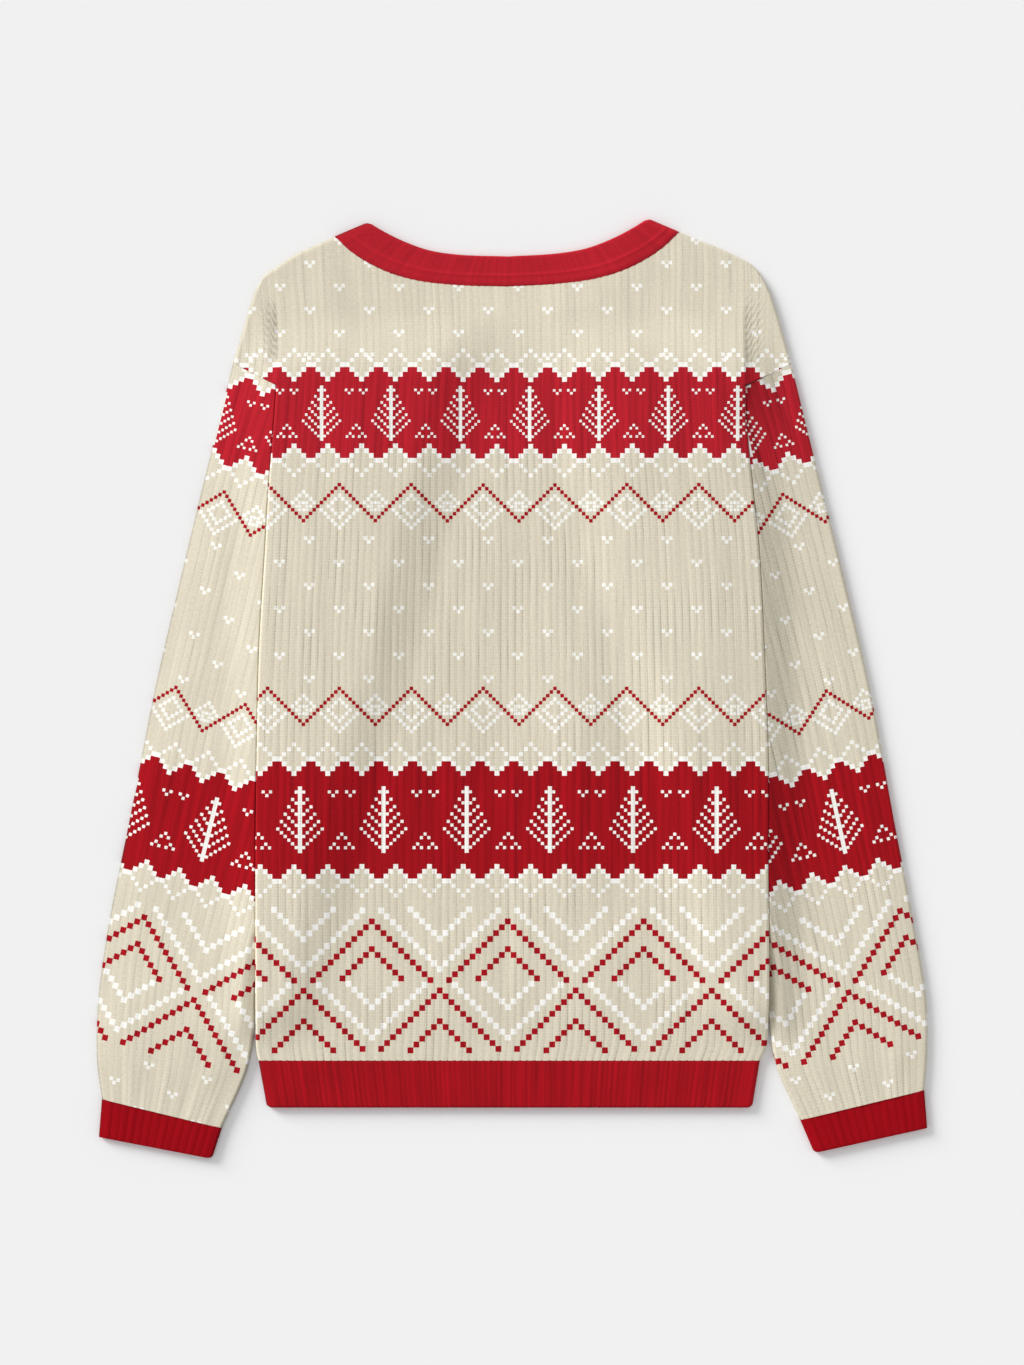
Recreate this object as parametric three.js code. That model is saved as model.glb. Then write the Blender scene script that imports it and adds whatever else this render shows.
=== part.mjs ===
// A christmas sweater in rib knit, laid flat on its front with its back up.
// X runs across the shoulders, Y from hem to neck and Z up from the surface it lies on, in mm.
// The body lies over the inner strips of both sleeves, which hang straight down from dropped shoulders.
import * as THREE from 'three';

// Cloth
const WALL = 2.0;
const RIB_RISE = 0.6;
const LAYER_AIR = 0.8;
const SEAM_GAP = 0.3;
const NECK_SEAM_GAP = 0.45;
const ROUNDING = 0.01;
const FLAT_STACK = 2 * WALL + LAYER_AIR;
const RIM_HEIGHT = FLAT_STACK / 2;
const RIM_TAPER = 1.2;

// The body climbs this high to lie over a sleeve, and comes down past these distances from its edge.
const LIFT_CLEARANCE = 0.45;
const LIFT = FLAT_STACK + RIB_RISE + LIFT_CLEARANCE;
const LIFT_MARGIN = 16;
const LIFT_RAMP_ACROSS = 50;
const LIFT_RAMP_START = 248;
const LIFT_RAMP_END = 302;
const LIFT_RAMP_SHOULDER = 12;
const LIFT_FADE_START = -250;
const LIFT_FADE_END = -290;

// Heights along Y
const ARMHOLE_Y = 243;
const CREASE_TOP_Y = 338;
const HEM_SEAM_Y = -296.6;
const HEM_EDGE_Y = -334.2;

// Neckline, measured from its middle
const NECK_MIDDLE_X = -4;
const NECK_BACK_Y = 322.2;
const NECK_BAND_TOP_Y = 346.2;
const NECK_CORNER_HALF = 137.6;
const NECK_PEAK_HALF = 113;
const NECK_CORNER_Y = 364.2;
const NECK_PEAK_Y = 374.2;
const FRONT_NECK_DEPTH = 100;
const FRONT_BAND_DEPTH = 88;
const NECK_TILT = 0.013;
const NECK_SAG = 1.9;
const NECK_SAG_EDGE = 0.5;
const NECK_WALL = 2.4;
const NECK_RIDGE_RISE = 0.5;

// Ribs counted on the side that shows
const BODY_RIBS = 67;
const SLEEVE_RIBS = 21;
const HEM_RIBS = 98;
const CUFF_RIBS = 15;
const NECK_RIBS = 44;

// Steps of the walls: rows by height or by part of the way up the armhole, columns by part across
const FRONT_NECK_STEPS = 16;
const SHOULDER_ROWS = 18;
const BODY_ROWS = [-286, -268, -250, -150, -50, 50, 150];
const ARMHOLE_ROWS = [0, 0.16, 0.36, 0.62, 0.86];
const RIB_MARGIN = 6;
const SIDE_COLUMNS = [0.05, 0.09];
const CREASED_SHOULDER_COLUMNS = [0.3, 0.45, 0.6, 0.75];
const PLAIN_SHOULDER_COLUMNS = [0.5];
const FIRST_SHOULDER_COLUMN = 3;
const SLEEVE_ROWS = [1, 0.975, 0.945, 0.91, 0.86, 0.79, 0.7, 0.6, 0.49, 0.38, 0.27, 0.17, 0.08, 0];
const SLEEVE_STEPS = { under: 5, inside: 11 };
const CUFF_STEPS = 3;
const HEM_STEPS = 12;
const FOLD_REACH = 0.004;

// How far the back is puffed above lying flat, and where it is let down again
const BODY_FULLNESS = 1.2;
const BODY_FULL_FROM_SIDE = 40;
const BODY_FULL_FROM_END = 60;
const BODY_FULL_TOP_Y = 330;

// Ridge along each armhole crease
const CREASE_RISE = 1.7;
const CREASE_REACH = 30;
const CREASE_LOW = { y: 205, fade: 38 };
const CREASE_HIGH = { y: 322, fade: 30 };
const OUTER_CREASE_SHARE = 0.4;
const OUTER_CREASE_REACH = 2;

// Slanting creases of each dropped shoulder
const CAP_CREASE_RISE = 0.7;
const CAP_CREASE_PITCH = 8;
const CAP_CREASE_ANGLE = THREE.MathUtils.degToRad(35);
const CAP_CREASE_LOW_Y = 256;
const CAP_CREASE_FADE = { inside: 4, outside: 12, low: 12 };

// How far each sleeve is puffed, and how its top follows the shoulder seam down to the body's corner
const SLEEVE_FULLNESS = 2.0;
const SLEEVE_FULL_FROM = 4;
const SLEEVE_FULL_OVER = 30;
const SLEEVE_FULL_FROM_EDGE = 26;
const SLEEVE_FULL_ENDS = { top: 0.12, cuff: 0.06 };
const GATHER_FROM_EDGE = 8;
const SLEEVE_LENGTH = 600;
const SEAM_SLOPE = THREE.MathUtils.degToRad(28);
const SEAM_BOW = 10.8;
const SEAM_BOW_AT = 0.262;
const SEAM_BOW_FADE = 0.12;

const CREAM = 0xdcd3b8;
const CREAM_SLEEVE = 0xdad1b6;
const RED = 0x9f1a24;

// Side edges of the body below the armholes
const SIDE_LINE = [
  { y: -296.6, left: -203.0, right: 198.4 },
  { y: -286, left: -204.8, right: 203.2 },
  { y: -268, left: -204.8, right: 204.5 },
  { y: -129, left: -204.8, right: 204.5 },
  { y: -57, left: -204.0, right: 204.3 },
  { y: 39, left: -201.6, right: 200.8 },
  { y: 115, left: -197.0, right: 196.8 },
  { y: 161, left: -194.4, right: 192.0 },
  { y: 210, left: -190.4, right: 187.4 },
  { y: 243, left: -188.0, right: 185.9 },
];

// Armhole crease, from the corner where the body starts to overlap the sleeve up to the shoulder
const CREASE_LINE = [
  { at: 0.0, left: -188.0, right: 185.9 },
  { at: 0.25, left: -185.8, right: 184.9 },
  { at: 0.5, left: -186.4, right: 185.0 },
  { at: 0.75, left: -188.3, right: 186.0 },
  { at: 1.0, left: -189.6, right: 185.6 },
];

// Outline of the dropped shoulder, from the sleeve seam up
const SHOULDER_OUTLINE = [
  { at: 0.0, leftX: -223.0, leftY: 261.4, rightX: 223.2, rightY: 260.6 },
  { at: 0.25, leftX: -217.6, leftY: 279.0, rightX: 218.0, rightY: 279.0 },
  { at: 0.5, leftX: -211.8, leftY: 298.5, rightX: 211.8, rightY: 301.0 },
  { at: 0.75, leftX: -206.3, leftY: 316.5, rightX: 206.2, rightY: 317.5 },
  { at: 1.0, leftX: -200.0, leftY: 327.8, rightX: 198.4, rightY: 331.8 },
];

// Shoulder line: height of each side at a distance across from the middle of the neck
const SHOULDER_LINE = [
  { across: 137.6, left: 362.4, right: 366.0 },
  { across: 155, left: 354.4, right: 358.8 },
  { across: 172, left: 346.2, right: 352.0 },
  { across: 190, left: 333.4, right: 343.3 },
];

// Back neckline and the neckband's upper edge: rise above the middle at each distance across
const NECK_SEAM_CURVE = [
  { across: 0, rise: 0 },
  { across: 43, rise: 1.9 },
  { across: 76, rise: 6.6 },
  { across: 101, rise: 15.2 },
  { across: 125, rise: 29.8 },
  { across: 137.6, rise: 42.0 },
];
const NECK_EDGE_CURVE = [
  { across: 0, rise: 0 },
  { across: 42, rise: 2.2 },
  { across: 64, rise: 6.0 },
  { across: 85, rise: 13.8 },
  { across: 102, rise: 22.6 },
  { across: 113, rise: 28.0 },
];

// Sleeve sections from the armhole seam down to the cuff seam: outer edge and inner, hidden edge
const SLEEVE_SECTIONS = {
  left: [
    { down: 0.0, outerX: -223.0, outerY: 261.4, innerX: -88.0, innerY: 232.0 },
    { down: 0.12, outerX: -240.6, outerY: 190.0, innerX: -106.0, innerY: 160.0 },
    { down: 0.28, outerX: -262.4, outerY: 99.8, innerX: -131.5, innerY: 58.0 },
    { down: 0.45, outerX: -285.5, outerY: 0.0, innerX: -157.2, innerY: -45.0 },
    { down: 0.62, outerX: -305.0, outerY: -100.0, innerX: -181.4, innerY: -142.2 },
    { down: 0.77, outerX: -322.8, outerY: -190.0, innerX: -202.4, innerY: -226.5 },
    { down: 0.87, outerX: -331.0, outerY: -250.0, innerX: -205.6, innerY: -268.0 },
    { down: 0.94, outerX: -332.0, outerY: -295.0, innerX: -212.4, innerY: -306.0 },
    { down: 1.0, outerX: -328.0, outerY: -329.0, innerX: -232.0, innerY: -350.6 },
  ],
  right: [
    { down: 0.0, outerX: 223.2, outerY: 260.6, innerX: 88.0, innerY: 232.0 },
    { down: 0.12, outerX: 241.0, outerY: 187.5, innerX: 106.0, innerY: 160.0 },
    { down: 0.28, outerX: 262.8, outerY: 100.0, innerX: 131.5, innerY: 58.0 },
    { down: 0.45, outerX: 286.2, outerY: 0.0, innerX: 157.2, innerY: -45.0 },
    { down: 0.62, outerX: 304.6, outerY: -100.0, innerX: 181.4, innerY: -142.2 },
    { down: 0.77, outerX: 321.6, outerY: -190.0, innerX: 202.4, innerY: -226.5 },
    { down: 0.87, outerX: 331.0, outerY: -247.0, innerX: 205.4, innerY: -264.0 },
    { down: 0.94, outerX: 332.0, outerY: -288.0, innerX: 211.6, innerY: -302.0 },
    { down: 1.0, outerX: 329.6, outerY: -320.2, innerX: 230.4, innerY: -344.2 },
  ],
};

// Free edge of each cuff, as its outer and inner corner
const CUFF_EDGE = {
  left: { outerX: -330.4, outerY: -357.8, innerX: -240.0, innerY: -375.2 },
  right: { outerX: 332.0, outerY: -350.6, innerX: 241.6, innerY: -370.6 },
};

// Ends of the hem band at its seam and at its free edge
const HEM_ENDS = { seamLeft: -202.8, seamRight: 198.2, edgeLeft: -196.0, edgeRight: 192.0 };

// Long soft folds of the back: ridges with a positive height, troughs with a negative one
const BODY_FOLDS = [
  { x: -4, y: -50, length: 330, width: 34, height: -0.7, lean: 0.02 },
  { x: 104, y: -70, length: 360, width: 30, height: -0.8, lean: -0.03 },
  { x: -92, y: -20, length: 300, width: 42, height: 0.9, lean: 0.04 },
  { x: 50, y: -40, length: 330, width: 30, height: 1.1, lean: 0.0 },
  { x: 150, y: -30, length: 340, width: 32, height: 1.0, lean: 0.03 },
  { x: -40, y: -235, length: 110, width: 20, height: 0.7, lean: -0.1 },
  { x: 72, y: -238, length: 105, width: 18, height: 0.6, lean: 0.12 },
];

// Gathers of each sleeve above its cuff, placed across from the outer edge
const CUFF_GATHERS = [
  { across: 0.12, length: 34, width: 5.0, height: 0.7 },
  { across: 0.24, length: 52, width: 6.5, height: 1.0 },
  { across: 0.37, length: 38, width: 5.5, height: 0.8 },
  { across: 0.49, length: 60, width: 6.0, height: 1.1 },
  { across: 0.6, length: 36, width: 5.0, height: 0.7 },
  { across: 0.73, length: 50, width: 6.5, height: 0.9 },
  { across: 0.86, length: 30, width: 5.0, height: 0.7 },
];

const smooth = (t) => THREE.MathUtils.smoothstep(t, 0, 1);
const mix = THREE.MathUtils.lerp;
const mixPlan = (a, b, t) => [mix(a[0], b[0], t), mix(a[1], b[1], t)];
const bell = (t) => Math.exp(-t * t);

// Smooth curve through one column of a table, read at a value of its key column.
function reader(table, key, column) {
  const last = table.length - 1;
  const slope = (i) => (table[i + 1][column] - table[i][column]) / (table[i + 1][key] - table[i][key]);
  const tangent = (i) => (slope(Math.max(i - 1, 0)) + slope(Math.min(i, last - 1))) / 2;
  return (value) => {
    let i = 0;
    while (i < last - 1 && value > table[i + 1][key]) i += 1;
    const step = table[i + 1][key] - table[i][key];
    const t = THREE.MathUtils.clamp((value - table[i][key]) / step, 0, 1);
    const level = mix(table[i][column], table[i + 1][column], t * t * (3 - 2 * t));
    return level + t * (1 - t) * step * ((1 - t) * tangent(i) - t * tangent(i + 1));
  };
}

function planReader(table, key, columnX, columnY) {
  const readX = reader(table, key, columnX);
  const readY = reader(table, key, columnY);
  return (value) => [readX(value), readY(value)];
}

const SIDES = ['left', 'right'];
const forSides = (make) => Object.fromEntries(SIDES.map((side) => [side, make(side)]));
const sideX = forSides((side) => reader(SIDE_LINE, 'y', side));
const creaseX = forSides((side) => reader(CREASE_LINE, 'at', side));
const shoulderY = forSides((side) => reader(SHOULDER_LINE, 'across', side));
const shoulderOutline = forSides((side) => planReader(SHOULDER_OUTLINE, 'at', `${side}X`, `${side}Y`));
const neckSeamRise = reader(NECK_SEAM_CURVE, 'across', 'rise');
const neckEdgeRise = reader(NECK_EDGE_CURVE, 'across', 'rise');

// A closed solid gathered from points and triangles.
class Solid {
  constructor() {
    this.points = [];
    this.faces = [];
  }

  point(x, y, z) {
    this.points.push(x, y, z);
    return this.points.length / 3 - 1;
  }

  // Rows of points joined into quads; a flipped grid faces the other way.
  grid(rows, flipped = false) {
    for (let j = 0; j + 1 < rows.length; j += 1) {
      for (let i = 0; i + 1 < rows[j].length; i += 1) {
        const [a, b, c, d] = [rows[j][i], rows[j][i + 1], rows[j + 1][i + 1], rows[j + 1][i]];
        if (flipped) this.faces.push(a, c, b, a, d, c);
        else this.faces.push(a, b, c, a, c, d);
      }
    }
  }

  // Strip between two lines of points, each with its places from start to end.
  strip(first, second, flipped = false) {
    let i = 0;
    let j = 0;
    while (i + 1 < first.vertices.length || j + 1 < second.vertices.length) {
      const nextFirst = first.places[i + 1] ?? Infinity;
      const nextSecond = second.places[j + 1] ?? Infinity;
      const firstMoves = nextFirst <= nextSecond;
      const corner = firstMoves ? first.vertices[i + 1] : second.vertices[j + 1];
      const triangle = [first.vertices[i], corner, second.vertices[j]];
      this.faces.push(...(flipped ? triangle.toReversed() : triangle));
      if (firstMoves) i += 1;
      else j += 1;
    }
  }

  // A line of points with places by their distance along it, seen from above.
  line(vertices) {
    const places = [0];
    for (let i = 1; i < vertices.length; i += 1) {
      const [a, b] = [vertices[i - 1] * 3, vertices[i] * 3];
      const step = Math.hypot(this.points[b] - this.points[a], this.points[b + 1] - this.points[a + 1]);
      places.push(places[i - 1] + step);
    }
    return { vertices, places: places.map((place) => place / places.at(-1)) };
  }

  mesh(name, colour, faceDown = false) {
    const geometry = new THREE.BufferGeometry();
    geometry.setAttribute('position', new THREE.Float32BufferAttribute(this.points, 3));
    geometry.setIndex(faceDown ? this.faces.toReversed() : this.faces);
    geometry.computeVertexNormals();
    const material = new THREE.MeshStandardMaterial({ color: colour, roughness: 0.92, metalness: 0 });
    const mesh = new THREE.Mesh(geometry, material);
    mesh.name = name;
    return mesh;
  }
}

// How high the body lies over the sleeves: full over their hidden strips and none clear of them.
const HIDDEN_START = SLEEVE_SECTIONS.left[0];
const HIDDEN_END = SLEEVE_SECTIONS.left[5];
const IN_FROM_EDGE = new THREE.Vector2(HIDDEN_START.innerY - HIDDEN_END.innerY,
  HIDDEN_END.innerX - HIDDEN_START.innerX).normalize();

function lift(x, y, outsideCrease = 0) {
  const beyond = (HIDDEN_START.innerX - -Math.abs(x)) * -IN_FROM_EDGE.x
    + (y - HIDDEN_START.innerY) * IN_FROM_EDGE.y;
  const across = 1 - smooth((beyond - LIFT_MARGIN) / LIFT_RAMP_ACROSS);
  const up = smooth((LIFT_RAMP_END - y) / (LIFT_RAMP_END - LIFT_RAMP_START));
  const low = smooth((y - LIFT_FADE_END) / (LIFT_FADE_START - LIFT_FADE_END));
  const shoulder = 1 - smooth(outsideCrease / LIFT_RAMP_SHOULDER);
  return LIFT * up * across * low * shoulder;
}

// How far the back sinks where only the neck opening of the front is below it.
function neckSag(x, y) {
  const across = (x - NECK_MIDDLE_X) / NECK_PEAK_HALF;
  const down = (NECK_PEAK_Y - y) / FRONT_BAND_DEPTH;
  return NECK_SAG * smooth((1 - Math.hypot(across, down)) / NECK_SAG_EDGE);
}

// How much of a rise is left near the lower and the upper end of a stretch along Y.
const between = (y, low, high) => smooth((y - low.y) / low.fade) * smooth((high.y - y) / high.fade);

// Folds of the back, its fullness away from the edges and the ridge along each armhole crease.
function backFullness(x, y) {
  const aboveCorner = THREE.MathUtils.clamp((y - ARMHOLE_Y) / (CREASE_TOP_Y - ARMHOLE_Y), 0, 1);
  const edgeX = (side) => (y < ARMHOLE_Y ? sideX[side](y) : creaseX[side](aboveCorner));
  const fromSide = Math.max(Math.min(x - edgeX('left'), edgeX('right') - x), 0);
  const low = { y: HEM_SEAM_Y, fade: BODY_FULL_FROM_END };
  const high = { y: BODY_FULL_TOP_Y, fade: BODY_FULL_FROM_END };
  const inside = smooth(fromSide / BODY_FULL_FROM_SIDE) * between(y, low, high);
  let fullness = BODY_FULLNESS;
  for (const fold of BODY_FOLDS) {
    const along = (y - fold.y) / (fold.length / 2);
    const off = (x - fold.x - fold.lean * (y - fold.y)) / fold.width;
    fullness += fold.height * bell(off) * smooth(2 - 2 * Math.abs(along));
  }
  const ridge = CREASE_RISE * bell(fromSide / CREASE_REACH) * between(y, CREASE_LOW, CREASE_HIGH);
  return inside * fullness + ridge;
}

// Slanting creases of the dropped shoulder between its crease and the outline.
function shoulderCreases(x, y, outsideCrease, toOutline) {
  const across = y * Math.sin(CAP_CREASE_ANGLE) - Math.abs(x) * Math.cos(CAP_CREASE_ANGLE);
  const wave = Math.max(0, Math.cos((2 * Math.PI * across) / CAP_CREASE_PITCH));
  const inside = smooth(outsideCrease / CAP_CREASE_FADE.inside) * smooth(toOutline / CAP_CREASE_FADE.outside);
  const low = { y: CAP_CREASE_LOW_Y, fade: CAP_CREASE_FADE.low };
  return CAP_CREASE_RISE * wave * inside * between(y, low, CREASE_HIGH);
}

// Rounding of an edge where the back and the front curve towards each other.
function curl(inset) {
  if (inset >= RIM_HEIGHT) return 1;
  return Math.sqrt(1 - (1 - inset / RIM_HEIGHT) ** 2);
}

const neckTilt = (x) => NECK_TILT * (x - NECK_MIDDLE_X);
const backNeckY = (x) => NECK_BACK_Y + neckTilt(x) + neckSeamRise(Math.abs(x - NECK_MIDDLE_X));

function frontNeckY(x, gap) {
  const across = Math.min(Math.abs(x - NECK_MIDDLE_X) / (NECK_CORNER_HALF + gap), 1);
  return NECK_CORNER_Y + neckTilt(x) - (FRONT_NECK_DEPTH + gap) * Math.sqrt(1 - across ** 2);
}

// Top edge of a panel: its shoulder lines and, between the corners, its neckline.
function panelTop(kind, x) {
  const across = Math.abs(x - NECK_MIDDLE_X);
  const side = x < NECK_MIDDLE_X ? 'left' : 'right';
  const corner = NECK_CORNER_HALF + (kind === 'front' ? SEAM_GAP : 0);
  const onShoulder = across >= corner - ROUNDING;
  if (onShoulder) return { y: shoulderY[side](across) - SEAM_GAP, onShoulder };
  return { y: kind === 'back' ? backNeckY(x) - NECK_SEAM_GAP : frontNeckY(x, SEAM_GAP), onShoulder };
}

// Height of a panel at a place, on its outer or inner face, curved in towards a side seam at its edges.
function panelHeight(kind, face, place) {
  const { x, y, inset, rib = 0, outsideCrease = 0, toOutline = 0 } = place;
  const base = place.base ?? lift(x, y, outsideCrease);
  const seam = base + FLAT_STACK / 2;
  const wallSide = smooth((inset - WALL) / RIM_TAPER);
  if (kind === 'front') {
    const rim = seam - SEAM_GAP / 2;
    if (face === 'outer') return mix(rim, base, curl(inset));
    return mix(rim, base + WALL, wallSide);
  }
  const rim = seam + SEAM_GAP / 2;
  const raised = outsideCrease > 0
    ? shoulderCreases(x, y, outsideCrease, toOutline)
      + OUTER_CREASE_SHARE * CREASE_RISE * bell(outsideCrease / OUTER_CREASE_REACH)
    : backFullness(x, y);
  const under = base + WALL + LAYER_AIR + raised - neckSag(x, y);
  if (face === 'outer') return mix(rim, under + WALL + rib, curl(inset));
  return mix(rim, under, wallSide);
}

// Columns across the body: places from side to side, with close ones along the curved edges.
function bodyColumns(insets, middle) {
  const left = insets.map((shift) => ({ across: 0, shift }));
  const right = insets.map((shift) => ({ across: 1, shift: -shift })).reverse();
  return [...left, ...middle, ...right];
}

const topWidth = CREASE_LINE.at(-1).right - CREASE_LINE.at(-1).left;
const acrossAtTop = (x) => (x - CREASE_LINE.at(-1).left) / topWidth;

function ribColumns() {
  const corners = [-1, 1].map((sign) => acrossAtTop(NECK_MIDDLE_X + sign * NECK_CORNER_HALF));
  const start = RIB_MARGIN / topWidth;
  const count = 2 * BODY_RIBS;
  const columns = [];
  for (let i = 0; i <= count; i += 1) {
    const even = mix(start, 1 - start, i / count);
    const corner = corners.find((value) => Math.abs(value - even) < (0.5 - start) / count);
    columns.push({ across: corner ?? even, shift: 0, rib: i % 2 === 1 ? RIB_RISE : 0 });
  }
  return columns;
}

function plainColumns() {
  const seam = NECK_CORNER_HALF + SEAM_GAP;
  const columns = SIDE_COLUMNS.map((across) => ({ across, shift: 0 }));
  for (let i = 0; i <= FRONT_NECK_STEPS; i += 1) {
    const x = NECK_MIDDLE_X - seam * Math.cos((Math.PI * i) / FRONT_NECK_STEPS);
    columns.push({ across: acrossAtTop(x), shift: 0 });
  }
  columns.push(...SIDE_COLUMNS.toReversed().map((across) => ({ across: 1 - across, shift: 0 })));
  return columns;
}

const PLAIN_ACROSS = [0, ...plainColumns().map((column) => column.across), 1];

// One point of the body between its side edges, in a row below or above the armhole corner.
function bodyPlace(kind, column, row) {
  const { across, shift, rib } = column;
  const nearSide = across === 0 || across === 1;
  if (row.y !== undefined) {
    const x = mix(sideX.left(row.y), sideX.right(row.y), across) + shift;
    return { x, y: row.y, inset: nearSide ? Math.abs(shift) : Infinity, rib };
  }
  const x = mix(creaseX.left(row.at), creaseX.right(row.at), across) + shift;
  const top = panelTop(kind, mix(creaseX.left(1), creaseX.right(1), across) + shift);
  const inset = top.onShoulder ? row.inset : row.neckInset ?? row.inset;
  const y = mix(ARMHOLE_Y, top.y - inset, row.at);
  const curled = top.onShoulder && row.at === 1;
  return { x, y, inset: curled ? inset : Infinity, rib };
}

// The same point for a column of ribs, lifted as straight as the plain faces below it.
function ribPlace(kind, column, row) {
  const place = bodyPlace(kind, column, row);
  const after = PLAIN_ACROSS.findIndex((value) => value > column.across);
  if (after < 1) return place;
  const ends = [PLAIN_ACROSS[after - 1], PLAIN_ACROSS[after]]
    .map((across) => bodyPlace(kind, { across, shift: 0 }, row));
  const part = (column.across - PLAIN_ACROSS[after - 1]) / (PLAIN_ACROSS[after] - PLAIN_ACROSS[after - 1]);
  return { ...place, base: mix(lift(ends[0].x, ends[0].y), lift(ends[1].x, ends[1].y), part) };
}

// One point of the dropped shoulder between the crease (0) and the outline (1).
function shoulderPlace(kind, side, column, row) {
  const sign = side === 'left' ? -1 : 1;
  const creaseTop = panelTop(kind, creaseX[side](1)).y;
  const crease = [creaseX[side](row.at), mix(ARMHOLE_Y, creaseTop - row.inset, row.at)];
  const outline = shoulderOutline[side](row.at);
  outline[1] -= row.inset * row.at;
  const length = Math.hypot(outline[0] - crease[0], outline[1] - crease[1]);
  const t = column.fromCrease !== undefined ? column.fromCrease / length : 1 - column.inset / length;
  const part = column.part !== undefined ? column.part : t;
  const [x, y] = mixPlan(crease, outline, part);
  const toOutline = (1 - part) * length;
  const inset = Math.min(toOutline, row.at === 1 ? row.inset : Infinity);
  return { x, y, inset, outsideCrease: Math.max(sign * (x - crease[0]), 0.01), toOutline };
}

// One face of a panel: its body, its two dropped shoulders and the outline that runs round it.
function panelFace(solid, kind, face, layout) {
  const flipped = face === 'inner';
  const add = (place) => solid.point(place.x, place.y, panelHeight(kind, face, place));
  const placed = layout.ribbed ? ribPlace : bodyPlace;
  const body = layout.rows.map((row) => layout.columns.map((column) => add(placed(kind, column, row))));
  const corner = layout.rows.findIndex((row) => row.at === 0);
  solid.grid(body, flipped);
  let top = body.at(-1);
  if (layout.topColumns) {
    top = layout.topColumns.map((column) => add(bodyPlace(kind, column, layout.topRow)));
    solid.strip(solid.line(body.at(-1)), solid.line(top), flipped);
  }
  const shoulders = forSides((side) => {
    const rows = layout.shoulderRows.map((row) => layout.shoulderColumns
      .map((column) => add(shoulderPlace(kind, side, column, row))));
    const outward = side === 'right';
    solid.grid(rows, outward === flipped);
    const edge = body.slice(corner).map((row) => (outward ? row.at(-1) : row[0]));
    if (layout.topColumns) edge.push(outward ? top.at(-1) : top[0]);
    const first = solid.line(rows.map((row) => row[0]));
    solid.strip(solid.line(edge), first, outward !== flipped);
    return rows;
  });
  const outline = (side) => [
    [...shoulders[side][0]],
    shoulders[side].map((row) => row.at(-1)),
    shoulders[side].at(-1).toReversed(),
  ];
  const [rightSeam, rightOutline, rightTop] = outline('right');
  const [leftSeam, leftOutline, leftTop] = outline('left').map((line) => line.toReversed());
  const below = body.slice(0, corner + 1);
  const rightCorner = below.at(-1).at(-1);
  const leftCorner = below.at(-1)[0];
  return [
    body[0],
    below.map((row) => row.at(-1)),
    [rightCorner, ...rightSeam],
    rightOutline,
    [...rightTop, top.at(-1)],
    top.toReversed(),
    [top[0], ...leftTop],
    leftOutline,
    [...leftSeam, leftCorner],
    below.map((row) => row[0]).toReversed(),
  ];
}

function panel(kind, colour) {
  const solid = new Solid();
  const ribbed = kind === 'back';
  const curlInsets = [0, 0.3 * RIM_HEIGHT, RIM_HEIGHT];
  const innerInsets = [WALL, WALL + RIM_TAPER];
  const lowRows = [HEM_SEAM_Y, ...BODY_ROWS].map((y) => ({ y }));
  const highRows = ARMHOLE_ROWS.map((at) => ({ at, inset: 0 }));
  const shoulderSteps = Array.from({ length: SHOULDER_ROWS }, (_, i) => (
    { at: i / SHOULDER_ROWS, inset: 0 }
  ));
  const curlRows = [RIM_HEIGHT, 0].map((inset) => ({ at: 1, inset }));
  const outer = panelFace(solid, kind, 'outer', {
    ribbed,
    columns: bodyColumns(curlInsets, ribbed ? ribColumns() : plainColumns()),
    rows: [...lowRows, ...highRows, ...curlRows],
    shoulderRows: [...(ribbed ? shoulderSteps : highRows), ...curlRows],
    shoulderColumns: [
      { fromCrease: FIRST_SHOULDER_COLUMN },
      ...(ribbed ? CREASED_SHOULDER_COLUMNS : PLAIN_SHOULDER_COLUMNS).map((part) => ({ part })),
      ...curlInsets.toReversed().map((inset) => ({ inset })),
    ],
  });
  const innerTop = { at: 1, inset: WALL, neckInset: 0 };
  const innerCurl = { at: 1, inset: WALL + RIM_TAPER };
  const inner = panelFace(solid, kind, 'inner', {
    columns: bodyColumns(innerInsets, plainColumns()),
    rows: [...lowRows, ...highRows, innerCurl],
    topColumns: bodyColumns([WALL], ribbed ? ribColumns() : plainColumns()),
    topRow: innerTop,
    shoulderRows: [...highRows, innerCurl, innerTop],
    shoulderColumns: [
      { fromCrease: FIRST_SHOULDER_COLUMN },
      ...PLAIN_SHOULDER_COLUMNS.map((part) => ({ part })),
      ...innerInsets.toReversed().map((inset) => ({ inset })),
    ],
  });
  outer.forEach((line, i) => solid.strip(solid.line(line), solid.line(inner[i]), true));
  return solid.mesh(kind, colour, kind === 'front');
}

// Places across a flat tube: a rib every two steps.
function tubeRibs(count, rise) {
  return Array.from({ length: 2 * count - 1 }, (_, i) => ({
    across: (i + 1) / (2 * count), rise: i % 2 === 0 ? rise : 0,
  }));
}

const tubeSteps = (count) => Array.from({ length: count - 1 }, (_, i) => ({
  across: (i + 1) / count, rise: 0,
}));

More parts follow.
